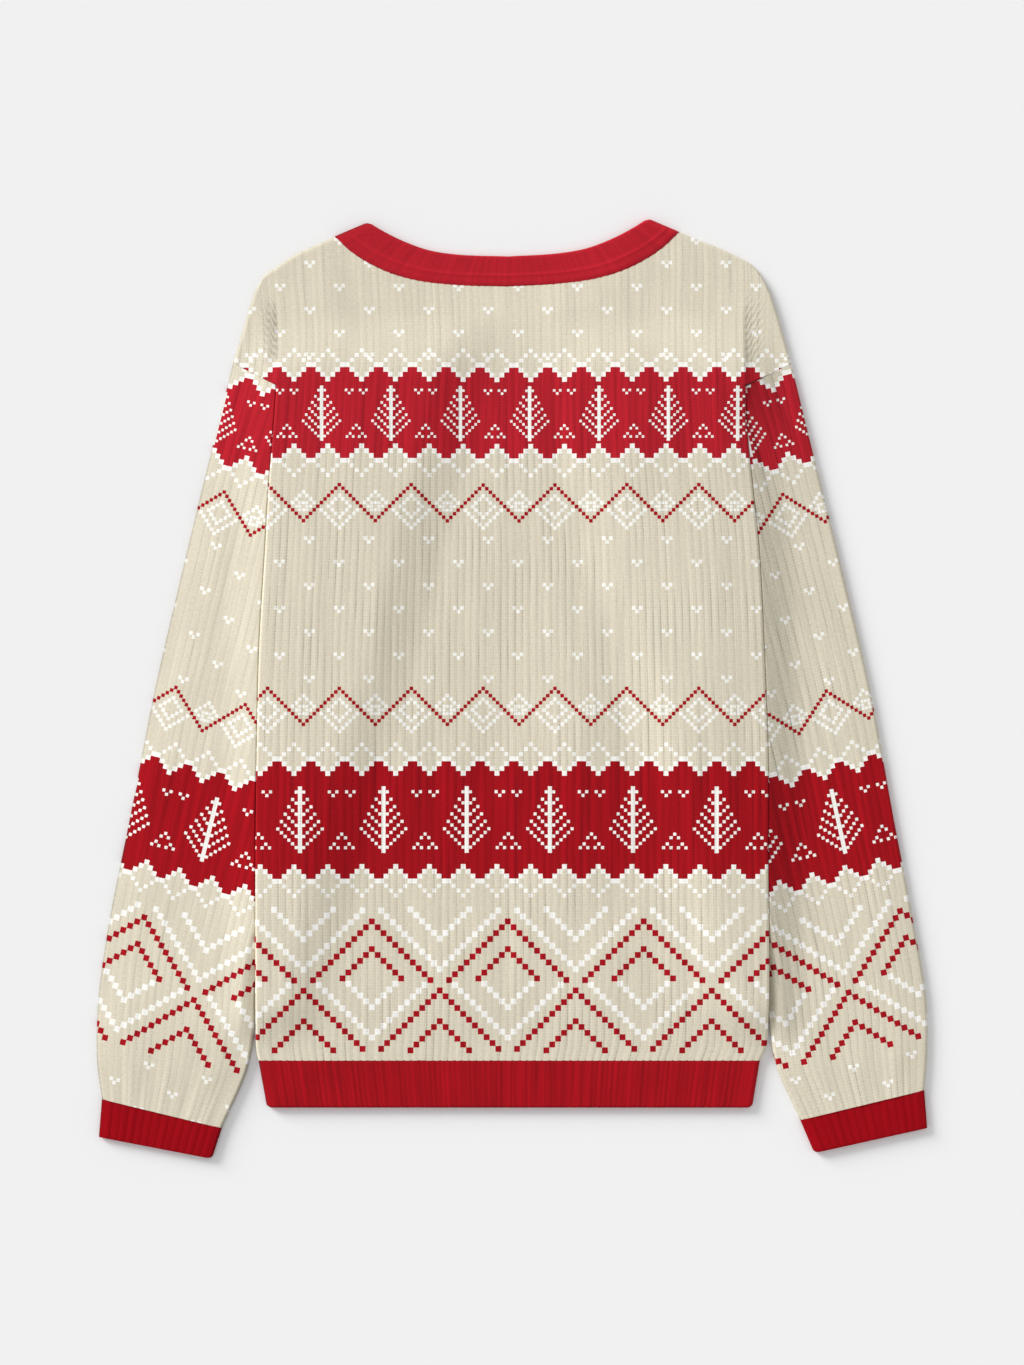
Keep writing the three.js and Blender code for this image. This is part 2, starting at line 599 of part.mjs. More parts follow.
// One ring round a flat tube: along the upper wall, round the right fold, back below and round the left fold.
function tubeRing(solid, section, layer) {
  const { top, bottom = top, ceiling, floor = () => 0, wall } = section;
  const inner = layer.face === 'inner';
  const fold = (end, near) => {
    const [tip, next] = [top(end), top(near)];
    const length = Math.hypot(next[0] - tip[0], next[1] - tip[1]);
    const inward = [(next[0] - tip[0]) / length, (next[1] - tip[1]) / length];
    const high = ceiling(tip[0], tip[1], end);
    const low = floor(tip[0], tip[1], end);
    const radius = (high - low) / 2;
    const centre = [tip[0] + inward[0] * radius, tip[1] + inward[1] * radius];
    return { centre, inward, radius: inner ? radius - wall : radius, middle: (high + low) / 2 };
  };
  const [leftFold, rightFold] = [fold(0, FOLD_REACH), fold(1, 1 - FOLD_REACH)];
  const onFold = ({ centre, inward, radius, middle }, angle) => solid.point(
    centre[0] - inward[0] * radius * Math.cos(angle),
    centre[1] - inward[1] * radius * Math.cos(angle),
    middle + radius * Math.sin(angle),
  );
  const vertices = [];
  const places = [];
  const put = (place, vertex) => {
    places.push(place);
    vertices.push(vertex);
  };
  const quarter = Math.PI / 2;
  const foldAngles = inner ? [0] : [quarter / 2, 0, -quarter / 2];
  put(0, onFold(leftFold, quarter));
  for (const { across, rise } of layer.upper) {
    const [x, y] = top(across);
    put(across, solid.point(x, y, ceiling(x, y, across) + (inner ? -wall : rise)));
  }
  put(1, onFold(rightFold, quarter));
  foldAngles.forEach((angle) => put(1.5 - angle / Math.PI, onFold(rightFold, angle)));
  put(2, onFold(rightFold, -quarter));
  for (const { across } of layer.lower.toReversed()) {
    const [x, y] = bottom(across);
    put(3 - across, solid.point(x, y, floor(x, y, across) + (inner ? wall : 0)));
  }
  put(3, onFold(leftFold, -quarter));
  foldAngles.toReversed().forEach((angle) => put(3.5 + angle / Math.PI, onFold(leftFold, angle)));
  put(4, vertices[0]);
  return { vertices, places };
}

// A tube lying flat, open at both ends, from its sections in order from the hem side to the neck side.
function flatTube(name, colour, sections, outerLayer, innerLayer, innerSections = sections) {
  const solid = new Solid();
  const outer = sections.map((section) => tubeRing(solid, section, { face: 'outer', ...outerLayer }));
  const inner = innerSections.map((section) => tubeRing(solid, section, { face: 'inner', ...innerLayer }));
  solid.grid(outer.map((ring) => ring.vertices));
  solid.grid(inner.map((ring) => ring.vertices), true);
  solid.strip(outer[0], inner[0], true);
  solid.strip(outer.at(-1), inner.at(-1));
  return solid.mesh(name, colour);
}

function sleeveEdges(side) {
  return {
    outer: planReader(SLEEVE_SECTIONS[side], 'down', 'outerX', 'outerY'),
    inner: planReader(SLEEVE_SECTIONS[side], 'down', 'innerX', 'innerY'),
  };
}

// How far the upper wall of a sleeve is raised: full in the middle of what shows, flat below the body.
function sleeveFullness(side, x, y, across, down, width) {
  const bodyEdge = sideX[side](THREE.MathUtils.clamp(y, HEM_SEAM_Y, ARMHOLE_Y));
  const outside = Math.abs(x) - Math.abs(bodyEdge);
  const fromOuter = side === 'left' ? across : 1 - across;
  const toEdges = Math.min(fromOuter, 1 - fromOuter) * width;
  const clear = y < HEM_SEAM_Y ? SLEEVE_FULL_OVER : outside - SLEEVE_FULL_FROM;
  let raised = SLEEVE_FULLNESS * smooth(clear / SLEEVE_FULL_OVER) * smooth(toEdges / SLEEVE_FULL_FROM_EDGE)
    * smooth(down / SLEEVE_FULL_ENDS.top) * smooth((1 - down) / SLEEVE_FULL_ENDS.cuff);
  const fromCuff = (1 - down) * SLEEVE_LENGTH;
  for (const gather of CUFF_GATHERS) {
    const off = ((fromOuter - gather.across) * width) / gather.width;
    const fade = smooth(1 - fromCuff / gather.length) * smooth(toEdges / GATHER_FROM_EDGE);
    raised += gather.height * bell(off) * fade;
  }
  return raised;
}

function sleeve(side) {
  const { outer, inner } = sleeveEdges(side);
  const [leftEdge, rightEdge] = side === 'left' ? [outer, inner] : [inner, outer];
  const section = (down) => {
    const shift = down === 0 ? SEAM_GAP / Math.cos(SEAM_SLOPE) : 0;
    const [a, b] = [leftEdge(down), rightEdge(down)];
    const width = Math.hypot(a[0] - b[0], a[1] - b[1]);
    return {
      wall: WALL,
      top: (across) => {
        const [x, y] = mixPlan(a, b, across);
        const fromOuter = side === 'left' ? across : 1 - across;
        const bow = Math.min(fromOuter / SEAM_BOW_AT, (1 - fromOuter) / (1 - SEAM_BOW_AT));
        return [x, y - shift - SEAM_BOW * bow * smooth(1 - down / SEAM_BOW_FADE)];
      },
      ceiling: (x, y, across) => FLAT_STACK + sleeveFullness(side, x, y, across, down, width),
    };
  };
  const lower = tubeSteps(SLEEVE_STEPS.under);
  return flatTube(`sleeve_${side}`, CREAM_SLEEVE, SLEEVE_ROWS.map(section),
    { upper: tubeRibs(SLEEVE_RIBS, RIB_RISE), lower }, { upper: tubeSteps(SLEEVE_STEPS.inside), lower });
}

function cuff(side) {
  const { outer, inner } = sleeveEdges(side);
  const edge = CUFF_EDGE[side];
  const [outerTop, innerTop] = [outer(1), inner(1)];
  const [outerLow, innerLow] = [[edge.outerX, edge.outerY], [edge.innerX, edge.innerY]];
  const length = Math.hypot(outerTop[0] - outerLow[0], outerTop[1] - outerLow[1]);
  const section = ({ out, innerInset = 0, drop = 0 }) => {
    const down = Math.max(out, SEAM_GAP / length);
    const a = mixPlan(outerTop, outerLow, down);
    const b = mixPlan(innerTop, innerLow, down);
    const width = Math.hypot(a[0] - b[0], a[1] - b[1]);
    const innerEnd = mixPlan(b, a, innerInset / width);
    const [from, to] = side === 'left' ? [a, innerEnd] : [innerEnd, a];
    return { wall: WALL, top: (across) => mixPlan(from, to, across), ceiling: () => FLAT_STACK - drop };
  };
  const rows = [
    { out: 1, innerInset: 3, drop: 0.4 },
    { out: 0.93, innerInset: 0.6 },
    { out: 0.5 },
    { out: 0 },
  ];
  const lower = tubeSteps(CUFF_STEPS);
  return flatTube(`cuff_${side}`, RED, rows.map(section),
    { upper: tubeRibs(CUFF_RIBS, RIB_RISE), lower }, { upper: lower, lower });
}

// The hem band, a flat tube in fine rib that narrows a little to its free edge.
function hemBand() {
  const section = ({ y, inset = 0, drop = 0 }) => {
    const down = (HEM_SEAM_Y - y) / (HEM_SEAM_Y - HEM_EDGE_Y);
    const left = mix(HEM_ENDS.seamLeft, HEM_ENDS.edgeLeft, down) + inset;
    const right = mix(HEM_ENDS.seamRight, HEM_ENDS.edgeRight, down) - inset;
    return { wall: WALL, top: (across) => [mix(left, right, across), y], ceiling: () => FLAT_STACK - drop };
  };
  const rows = [
    { y: HEM_EDGE_Y, inset: 2.4, drop: 0.4 },
    { y: HEM_EDGE_Y + 2.5, inset: 0.4 },
    { y: HEM_SEAM_Y - SEAM_GAP },
  ];
  const lower = tubeSteps(HEM_STEPS);
  return flatTube('hem_rib', RED, rows.map(section),
    { upper: tubeRibs(HEM_RIBS, RIB_RISE), lower }, { upper: lower, lower });
}

// The neckband, one ring: its upper run follows the back neckline and its lower run the front's.
function neckband() {
  const section = ({ part, rise = 0 }) => {
    const half = mix(NECK_CORNER_HALF, NECK_PEAK_HALF, part);
    const top = (across) => {
      const seamX = mix(-NECK_CORNER_HALF, NECK_CORNER_HALF, across);
      const edgeX = mix(-NECK_PEAK_HALF, NECK_PEAK_HALF, across);
      const seam = NECK_BACK_Y + neckSeamRise(Math.abs(seamX)) + NECK_TILT * seamX;
      const edge = NECK_BAND_TOP_Y + neckEdgeRise(Math.abs(edgeX)) + NECK_TILT * edgeX;
      return [NECK_MIDDLE_X + mix(seamX, edgeX, part), mix(seam, edge, part)];
    };
    const bottom = (across) => {
      const x = -half * Math.cos(Math.PI * across);
      const depth = mix(FRONT_NECK_DEPTH, FRONT_BAND_DEPTH, part) * Math.sin(Math.PI * across);
      return [NECK_MIDDLE_X + x, mix(NECK_CORNER_Y, NECK_PEAK_Y, part) + NECK_TILT * x - depth];
    };
    const ceiling = (x, y) => 2 * NECK_WALL + LAYER_AIR - neckSag(x, y) + rise;
    return { wall: NECK_WALL, top, bottom, ceiling };
  };
  const rows = [
    { part: 0 },
    { part: 0.3, rise: -0.2 },
    { part: 0.36, rise: NECK_RIDGE_RISE },
    { part: 0.42 },
    { part: 0.95 },
    { part: 1, rise: -0.6 },
  ];
  const lower = tubeSteps(FRONT_NECK_STEPS);
  return flatTube('neckband', RED, rows.map(section),
    { upper: tubeRibs(NECK_RIBS, RIB_RISE / 2), lower },
    { upper: tubeSteps(2 * NECK_RIBS), lower }, [{ part: 0 }, { part: 1, rise: -0.6 }].map(section));
}

const sweater = new THREE.Group();
sweater.name = 'christmas_sweater';
sweater.add(panel('back', CREAM), panel('front', CREAM), hemBand(), neckband());
SIDES.forEach((side) => sweater.add(sleeve(side), cuff(side)));

const bounds = new THREE.Box3().setFromObject(sweater);
const middle = bounds.getCenter(new THREE.Vector3());
sweater.position.set(-middle.x, -middle.y, -bounds.min.z);
sweater.updateMatrixWorld(true);

export default sweater;
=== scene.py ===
"""A christmas sweater in rib knit, laid flat on its front with its back up.

Plans and heights are worked out in millimetres: X runs across the shoulders, Y from the hem to the neck
and Z up from the surface that the garment lies on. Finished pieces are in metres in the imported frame.
"""

from __future__ import annotations

import logging
import math
from dataclasses import dataclass, field
from enum import Enum
from typing import Callable, NamedTuple, Optional, Sequence, Union

import bpy
import numpy as np
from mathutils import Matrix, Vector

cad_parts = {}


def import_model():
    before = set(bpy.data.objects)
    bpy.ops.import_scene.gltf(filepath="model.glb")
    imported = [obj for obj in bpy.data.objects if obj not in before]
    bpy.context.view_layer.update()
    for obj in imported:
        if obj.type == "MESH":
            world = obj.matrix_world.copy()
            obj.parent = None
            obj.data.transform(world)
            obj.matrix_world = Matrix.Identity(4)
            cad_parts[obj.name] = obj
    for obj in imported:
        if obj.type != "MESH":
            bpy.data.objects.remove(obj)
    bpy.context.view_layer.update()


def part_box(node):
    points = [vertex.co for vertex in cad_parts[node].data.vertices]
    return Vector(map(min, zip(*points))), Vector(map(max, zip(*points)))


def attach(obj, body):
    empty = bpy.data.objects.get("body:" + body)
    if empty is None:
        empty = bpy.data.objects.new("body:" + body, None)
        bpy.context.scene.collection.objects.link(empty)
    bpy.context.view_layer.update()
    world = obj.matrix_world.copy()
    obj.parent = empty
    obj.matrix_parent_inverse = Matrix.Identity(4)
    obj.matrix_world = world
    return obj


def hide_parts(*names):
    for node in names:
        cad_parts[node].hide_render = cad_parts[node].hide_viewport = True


log = logging.getLogger("sweater")

Array = np.ndarray
Number = Union[float, np.ndarray]
Plan = Callable[[Number], tuple[Number, Number]]
Height = Callable[[Number, Number, Number], Number]

MM = 0.001

# Cloth
WALL = 2.0
RIB_RISE = 0.6
LAYER_AIR = 0.8
SEAM_GAP = 0.1
NECK_SEAM_GAP = 0.12
ROUNDING = 0.01
HARD_END = math.radians(80)
FLAT_STACK = 2 * WALL + LAYER_AIR
RIM_HEIGHT = FLAT_STACK / 2
RIM_TAPER = 1.2

# The body climbs this high to lie over a sleeve, and comes down past these distances from its edge
LIFT_CLEARANCE = 0.45
LIFT = FLAT_STACK + RIB_RISE + LIFT_CLEARANCE
LIFT_MARGIN = 16.0
LIFT_RAMP_ACROSS = 50.0
LIFT_RAMP_START = 248.0
LIFT_RAMP_END = 302.0
LIFT_RAMP_SHOULDER = 32.0
LIFT_STEP_SHOULDER = 4.0
LIFT_FADE_START = -250.0
LIFT_FADE_END = -290.0

# Heights along Y
ARMHOLE_Y = 243.0
CREASE_TOP_Y = 338.0
HEM_SEAM_Y = -296.6
HEM_EDGE_Y = -334.2

# Neckline, measured from its middle
NECK_MIDDLE_X = -4.0
NECK_BACK_Y = 322.2
NECK_BAND_TOP_Y = 346.2
NECK_CORNER_HALF = 137.6
NECK_PEAK_HALF = 112.0
NECK_CORNER_Y = 364.2
NECK_PEAK_Y = 375.8
FRONT_NECK_DEPTH = 100.0
FRONT_BAND_DEPTH = 88.0
NECK_TILT = 0.013
NECK_SAG = 1.9
NECK_SAG_EDGE = 0.5
NECK_WALL = 2.4
NECK_RIDGE_RISE = 0.5
NECKBAND_DEPTH = 24.0

# Ribs counted on the side that shows
BODY_RIBS = 67
SLEEVE_RIBS = 21
HEM_RIBS = 98
CUFF_RIBS = 15
NECK_RIBS = 44
RIB_MARGIN = 6.0
HALF_RIB = 0.5
COURSE_PITCH = 2.4

# How far the back is puffed above lying flat, and where it is let down again
BODY_FULLNESS = 1.2
BODY_FULL_FROM_SIDE = 40.0
BODY_FULL_FROM_END = 60.0
BODY_FULL_TOP_Y = 330.0

# Ridge along each armhole crease
CREASE_REACH = 30.0
OUTER_CREASE_SHARE = 0.4
OUTER_CREASE_REACH = 2.0

# Slanting creases of each dropped shoulder, and the shade painted beside the armhole crease, lighter on top
# of each slanting crease
CAP_CREASE_PITCH = 3.5
CAP_CREASE_ANGLE = math.radians(32)
CAP_CREASE_WANDER = 0.6
CAP_CREASE_WANDER_LENGTH = 8.0
CAP_CREASE_INSIDE = 1.5
CAP_CREASE_REACH = 22.0
CAP_CREASE_FADE = 14.0
CAP_CREASE_TOP_PAINTED_SHADE = 0.35
CAP_PAINTED_SHADE_REACH = 17.0
SHOULDER_BOW = 1.2

# How faint the shoulders' ribs are, and the light painted where the body's edge meets a sleeve
SHOULDER_RIBBED = 0.55
SLIT_PAINTED_LIGHT = 0.6
SLIT_PAINTED_LIGHT_REACH = 1.0

# How far each sleeve is puffed, and how its top follows the shoulder seam down to the body's corner
SLEEVE_FULLNESS = 1.3
SLEEVE_RIDGE_START = -0.8
SLEEVE_RIDGE_OVER = 1.6
SLEEVE_RIDGE_SHARE = 0.78
SLEEVE_RIDGE_FROM_EDGE = 14.0
SLEEVE_RIDGE_FADE = 40.0
SLEEVE_FULL_FROM = 4.0
SLEEVE_FULL_OVER = 30.0
SLEEVE_FULL_FROM_EDGE = 26.0
SLEEVE_FULL_TOP = 0.12
SLEEVE_FULL_CUFF = 0.06
GATHER_FROM_EDGE = 8.0
SLEEVE_LENGTH = 600.0
SEAM_SLOPE = math.radians(28)
SEAM_BOW = 10.8
SEAM_BOW_AT = 0.262
SEAM_BOW_FADE = 0.12


class Stretch(NamedTuple):
    """One end of a rise along Y: where it starts and over how far it fades in."""

    y: float
    fade: float


CREASE_LOW = Stretch(205.0, 38.0)
CREASE_HIGH = Stretch(322.0, 30.0)
CAP_CREASE_LOW = Stretch(256.0, 12.0)
SHOULDER_RIBS = Stretch(235.0, 40.0)
BODY_LOW = Stretch(HEM_SEAM_Y, BODY_FULL_FROM_END)
BODY_HIGH = Stretch(BODY_FULL_TOP_Y, BODY_FULL_FROM_END)


class SidePoint(NamedTuple):
    """Side edges of the body at one height below the armholes."""

    y: float
    left: float
    right: float


SIDE_LINE = (
    SidePoint(-296.6, -203.0, 198.4),
    SidePoint(-286.0, -204.8, 203.2),
    SidePoint(-268.0, -204.8, 204.5),
    SidePoint(-129.0, -204.8, 204.5),
    SidePoint(-57.0, -204.0, 204.3),
    SidePoint(39.0, -201.6, 200.8),
    SidePoint(115.0, -197.0, 196.8),
    SidePoint(161.0, -194.4, 192.0),
    SidePoint(210.0, -190.4, 187.4),
    SidePoint(243.0, -188.0, 185.9),
)


class CreasePoint(NamedTuple):
    """Armhole creases at one part of the way up from the corner to the shoulder line."""

    at: float
    left: float
    right: float


CREASE_LINE = (
    CreasePoint(0.0, -188.0, 185.9),
    CreasePoint(0.25, -185.8, 184.9),
    CreasePoint(0.5, -186.4, 185.0),
    CreasePoint(0.75, -188.3, 186.0),
    CreasePoint(1.0, -189.6, 185.6),
)


class ShoulderPoint(NamedTuple):
    """Outline of the dropped shoulders at one part of the way up from the sleeve seam."""

    at: float
    left_x: float
    left_y: float
    right_x: float
    right_y: float


SHOULDER_OUTLINE = (
    ShoulderPoint(0.0, -223.0, 261.4, 223.2, 260.6),
    ShoulderPoint(0.25, -217.6, 279.0, 218.0, 279.0),
    ShoulderPoint(0.5, -211.8, 298.5, 211.8, 301.0),
    ShoulderPoint(0.75, -206.3, 316.5, 206.2, 317.5),
    ShoulderPoint(1.0, -200.0, 327.8, 198.4, 331.8),
)


class TopPoint(NamedTuple):
    """Height of each shoulder line at a distance across from the middle of the neck."""

    across: float
    left: float
    right: float


SHOULDER_LINE = (
    TopPoint(137.6, 362.4, 366.0),
    TopPoint(155.0, 354.4, 358.8),
    TopPoint(172.0, 346.2, 352.0),
    TopPoint(190.0, 333.4, 343.3),
)


class RisePoint(NamedTuple):
    """How far a curve at the neck rises above its middle at a distance across."""

    across: float
    rise: float


NECK_SEAM_CURVE = (
    RisePoint(0.0, 0.0),
    RisePoint(43.0, 1.9),
    RisePoint(76.0, 6.6),
    RisePoint(101.0, 15.2),
    RisePoint(125.0, 29.8),
    RisePoint(137.6, 42.0),
)
NECK_EDGE_CURVE = (
    RisePoint(0.0, 0.0),
    RisePoint(42.0, 2.2),
    RisePoint(64.0, 6.0),
    RisePoint(85.0, 13.8),
    RisePoint(102.0, 22.6),
    RisePoint(113.0, 29.6),
)


class SleevePoint(NamedTuple):
    """Outer and inner edge of a sleeve at one part of the way down to the cuff."""

    down: float
    outer_x: float
    outer_y: float
    inner_x: float
    inner_y: float


SLEEVE_LEFT = (
    SleevePoint(0.0, -223.0, 261.4, -88.0, 232.0),
    SleevePoint(0.12, -240.6, 190.0, -106.0, 160.0),
    SleevePoint(0.28, -262.4, 99.8, -131.5, 58.0),
    SleevePoint(0.45, -285.5, 0.0, -157.2, -45.0),
    SleevePoint(0.62, -305.0, -100.0, -181.4, -142.2),
    SleevePoint(0.77, -322.8, -190.0, -202.4, -226.5),
    SleevePoint(0.87, -331.0, -250.0, -205.6, -268.0),
    SleevePoint(0.94, -332.0, -295.0, -212.4, -306.0),
    SleevePoint(1.0, -328.0, -327.4, -232.0, -350.6),
)
SLEEVE_RIGHT = (
    SleevePoint(0.0, 223.2, 260.6, 88.0, 232.0),
    SleevePoint(0.12, 241.0, 187.5, 106.0, 160.0),
    SleevePoint(0.28, 262.8, 100.0, 131.5, 58.0),
    SleevePoint(0.45, 286.2, 0.0, 157.2, -45.0),
    SleevePoint(0.62, 304.6, -100.0, 181.4, -142.2),
    SleevePoint(0.77, 321.6, -190.0, 202.4, -226.5),
    SleevePoint(0.87, 331.0, -247.0, 205.4, -264.0),
    SleevePoint(0.94, 332.0, -288.0, 211.6, -302.0),
    SleevePoint(1.0, 329.6, -320.2, 230.4, -344.2),
)
HIDDEN_START = SLEEVE_LEFT[0]
HIDDEN_END = SLEEVE_LEFT[5]


class CuffEdge(NamedTuple):
    """Corners of a cuff's free edge."""

    outer: tuple[float, float]
    inner: tuple[float, float]


CUFF_LEFT = CuffEdge((-330.4, -357.8), (-240.0, -375.2))
CUFF_RIGHT = CuffEdge((332.0, -350.6), (241.6, -370.6))


class HemEnds(NamedTuple):
    """Ends of the hem band, left and right."""

    left: float
    right: float


HEM_SEAM_ENDS = HemEnds(-202.8, 198.2)
HEM_EDGE_ENDS = HemEnds(-196.0, 192.0)


class Fold(NamedTuple):
    """A long soft fold of the back: a ridge where its height is positive, else a trough."""

    x: float
    y: float
    length: float
    width: float
    height: float
    lean: float


BODY_FOLDS = (
    Fold(-4, -50, 330, 34, -0.7, 0.02),
    Fold(104, -70, 360, 30, -0.8, -0.03),
    Fold(-92, -20, 300, 42, 0.9, 0.04),
    Fold(50, -40, 330, 30, 1.1, 0.0),
    Fold(150, -30, 340, 32, 1.0, 0.03),
    Fold(-40, -235, 110, 20, 0.7, -0.1),
    Fold(72, -238, 105, 18, 0.6, 0.12),
)


class Gather(NamedTuple):
    """A gather of a sleeve above its cuff, placed across from the outer edge."""

    across: float
    length: float
    width: float
    height: float


CUFF_GATHERS = (
    Gather(0.12, 34, 5.0, 0.7),
    Gather(0.24, 52, 6.5, 1.0),
    Gather(0.37, 38, 5.5, 0.8),
    Gather(0.49, 60, 6.0, 1.1),
    Gather(0.6, 36, 5.0, 0.7),
    Gather(0.73, 50, 6.5, 0.9),
    Gather(0.86, 30, 5.0, 0.7),
)


class Side(Enum):
    """The two sides of the garment as it is seen, with the sign of X there."""

    LEFT = -1
    RIGHT = 1


# What differs from side to side: heights of creases and ribs, and how much shade is painted in creases,
# beside the body and on rounded edges, with light painted over the left sleeve
CREASE_RISE = {Side.LEFT: 0.4, Side.RIGHT: 1.4}
SLEEVE_RIBBED = {Side.LEFT: 0.6, Side.RIGHT: 0.95}
CAP_CREASE_RISE = {Side.LEFT: 0.9, Side.RIGHT: 0.55}
CAP_PAINTED_SHADE = {Side.LEFT: 0.9, Side.RIGHT: 0.45}
SLEEVE_PAINTED_SHADE = {Side.LEFT: -0.15, Side.RIGHT: 0.5}
SLEEVE_PAINTED_SHADE_REACH = {Side.LEFT: 200.0, Side.RIGHT: 48.0}
EDGE_PAINTED_SHADE = {Side.LEFT: 1.3, Side.RIGHT: 0.35}


class Panel(Enum):
    """The two body panels."""

    BACK = "back"
    FRONT = "front"


class Face(Enum):
    """The two faces of a wall of cloth."""

    OUTER = "outer"
    INNER = "inner"


def smooth(value: Number) -> Number:
    """Returns an even S curve from 0 to 1, level outside that stretch."""
    t = np.clip(value, 0.0, 1.0)
    return t * t * (3 - 2 * t)


def mix(low: Number, high: Number, part: Number) -> Number:
    """Returns the value that lies a part of the way from low to high."""
    return low + (high - low) * part


def bell(value: Number) -> Number:
    """Returns a round bump with height 1 at 0."""
    return np.exp(-np.square(value))


def between(y: Number, low: Stretch, high: Stretch) -> Number:
    """Returns how much of a rise is left near its lower and its upper end along Y."""
    return smooth((y - low.y) / low.fade) * smooth((high.y - y) / high.fade)


class Curve:
    """Smooth curve through one column of a table, read at a value of its key column."""

    def __init__(self, table: Sequence[NamedTuple], key: str, column: str) -> None:
        """Works out the slope at each row.

        Args:
            table: Rows with rising keys.
            key: Name of the key column.
            column: Name of the column that is read.
        """
        self.keys = np.array([getattr(row, key) for row in table])
        self.values = np.array([getattr(row, column) for row in table])
        slopes = np.diff(self.values) / np.diff(self.keys)
        self.tangents = (np.append(slopes[0], slopes) + np.append(slopes, slopes[-1])) / 2

    def __call__(self, value: Number) -> Number:
        """Returns the column at a key, or at each of several keys."""
        i = np.clip(np.searchsorted(self.keys, value) - 1, 0, len(self.keys) - 2)
        step = self.keys[i + 1] - self.keys[i]
        t = np.clip((value - self.keys[i]) / step, 0.0, 1.0)
        level = mix(self.values[i], self.values[i + 1], t * t * (3 - 2 * t))
        bend = (1 - t) * self.tangents[i] - t * self.tangents[i + 1]
        return level + t * (1 - t) * step * bend


SIDE_X = {side: Curve(SIDE_LINE, "y", side.name.lower()) for side in Side}
CREASE_X = {side: Curve(CREASE_LINE, "at", side.name.lower()) for side in Side}
SHOULDER_Y = {side: Curve(SHOULDER_LINE, "across", side.name.lower()) for side in Side}
OUTLINE_X = {side: Curve(SHOULDER_OUTLINE, "at", f"{side.name.lower()}_x") for side in Side}
OUTLINE_Y = {side: Curve(SHOULDER_OUTLINE, "at", f"{side.name.lower()}_y") for side in Side}
NECK_SEAM_RISE = Curve(NECK_SEAM_CURVE, "across", "rise")
NECK_EDGE_RISE = Curve(NECK_EDGE_CURVE, "across", "rise")


def lift(x: Number, y: Number, outside_crease: Number = 0.0) -> Number:
    """Returns how high the body lies over the sleeves: full over their hidden strips, else 0.

    Args:
        x: Place across.
        y: Place along.
        outside_crease: Distance outside the armhole crease on a dropped shoulder.

    Returns:
        The height above lying flat.
    """
    run = np.array([HIDDEN_START.inner_y - HIDDEN_END.inner_y, HIDDEN_END.inner_x - HIDDEN_START.inner_x])
    inward = run / np.hypot(*run)
    beyond = -(HIDDEN_START.inner_x + np.abs(x)) * inward[0] + (y - HIDDEN_START.inner_y) * inward[1]
    across = 1 - smooth((beyond - LIFT_MARGIN) / LIFT_RAMP_ACROSS)
    up = smooth((LIFT_RAMP_END - y) / (LIFT_RAMP_END - LIFT_RAMP_START))
    low = smooth((y - LIFT_FADE_END) / (LIFT_FADE_START - LIFT_FADE_END))
    step = smooth(outside_crease / LIFT_STEP_SHOULDER) * (1 - SLEEVE_RIDGE_SHARE)
    ramp = smooth(outside_crease / LIFT_RAMP_SHOULDER) * SLEEVE_RIDGE_SHARE
    return LIFT * up * across * low * (1 - step - ramp)


def neck_sag(x: Number, y: Number) -> Number:
    """Returns how far the back sinks where only the front's neck opening is below it."""
    across = (x - NECK_MIDDLE_X) / NECK_PEAK_HALF
    down = (NECK_PEAK_Y - y) / FRONT_BAND_DEPTH
    return NECK_SAG * smooth((1 - np.hypot(across, down)) / NECK_SAG_EDGE)


def back_fullness(x: Number, y: Number) -> Number:
    """Returns how far the back is raised by its folds, its fullness and the armhole creases."""
    above_corner = np.clip((y - ARMHOLE_Y) / (CREASE_TOP_Y - ARMHOLE_Y), 0.0, 1.0)
    edge = {
        side: np.where(y < ARMHOLE_Y, SIDE_X[side](np.minimum(y, ARMHOLE_Y)), CREASE_X[side](above_corner))
        for side in Side
    }
    from_edge = {side: np.maximum(side.value * (edge[side] - x), 0.0) for side in Side}
    from_side = np.minimum(*from_edge.values())
    inside = smooth(from_side / BODY_FULL_FROM_SIDE) * between(y, BODY_LOW, BODY_HIGH)
    fullness = BODY_FULLNESS
    for fold in BODY_FOLDS:
        along = (y - fold.y) / (fold.length / 2)
        off = (x - fold.x - fold.lean * (y - fold.y)) / fold.width
        fullness = fullness + fold.height * bell(off) * smooth(2 - 2 * np.abs(along))
    ridge = sum(CREASE_RISE[side] * bell(from_edge[side] / CREASE_REACH) for side in Side)
    return inside * fullness + ridge * between(y, CREASE_LOW, CREASE_HIGH)


def on_side(values: dict[Side, float], x: Number) -> Number:
    """Returns the value of the side of the neck's middle that a place lies on."""
    return np.where(x < NECK_MIDDLE_X, values[Side.LEFT], values[Side.RIGHT])


def shoulder_creases(x: Number, y: Number, outside_crease: Number) -> tuple[Number, Number]:
    """Returns the slanting creases of a dropped shoulder.

    Args:
        x: Place across.
        y: Place along.
        outside_crease: Distance outside the armhole crease.

    Returns:
        How high the creases stand, and how much shade is painted on the cloth beside the armhole, less on top
        of the creases.
    """
    wander = CAP_CREASE_WANDER * np.sin(y / CAP_CREASE_WANDER_LENGTH + outside_crease)
    across = y * math.sin(CAP_CREASE_ANGLE) - np.abs(x) * math.cos(CAP_CREASE_ANGLE) + wander
    wave = (1 + np.cos(2 * math.pi * across / CAP_CREASE_PITCH)) / 2
    along = between(y, CAP_CREASE_LOW, CREASE_HIGH)
    near = smooth(outside_crease / CAP_CREASE_INSIDE)
    near = near * smooth((CAP_CREASE_REACH - outside_crease) / CAP_CREASE_FADE)
    painted_shade = on_side(CAP_PAINTED_SHADE, x) * (1 - smooth(outside_crease / CAP_PAINTED_SHADE_REACH)) * along
    return on_side(CAP_CREASE_RISE, x) * wave * near * along, painted_shade * mix(1.0, CAP_CREASE_TOP_PAINTED_SHADE, wave)


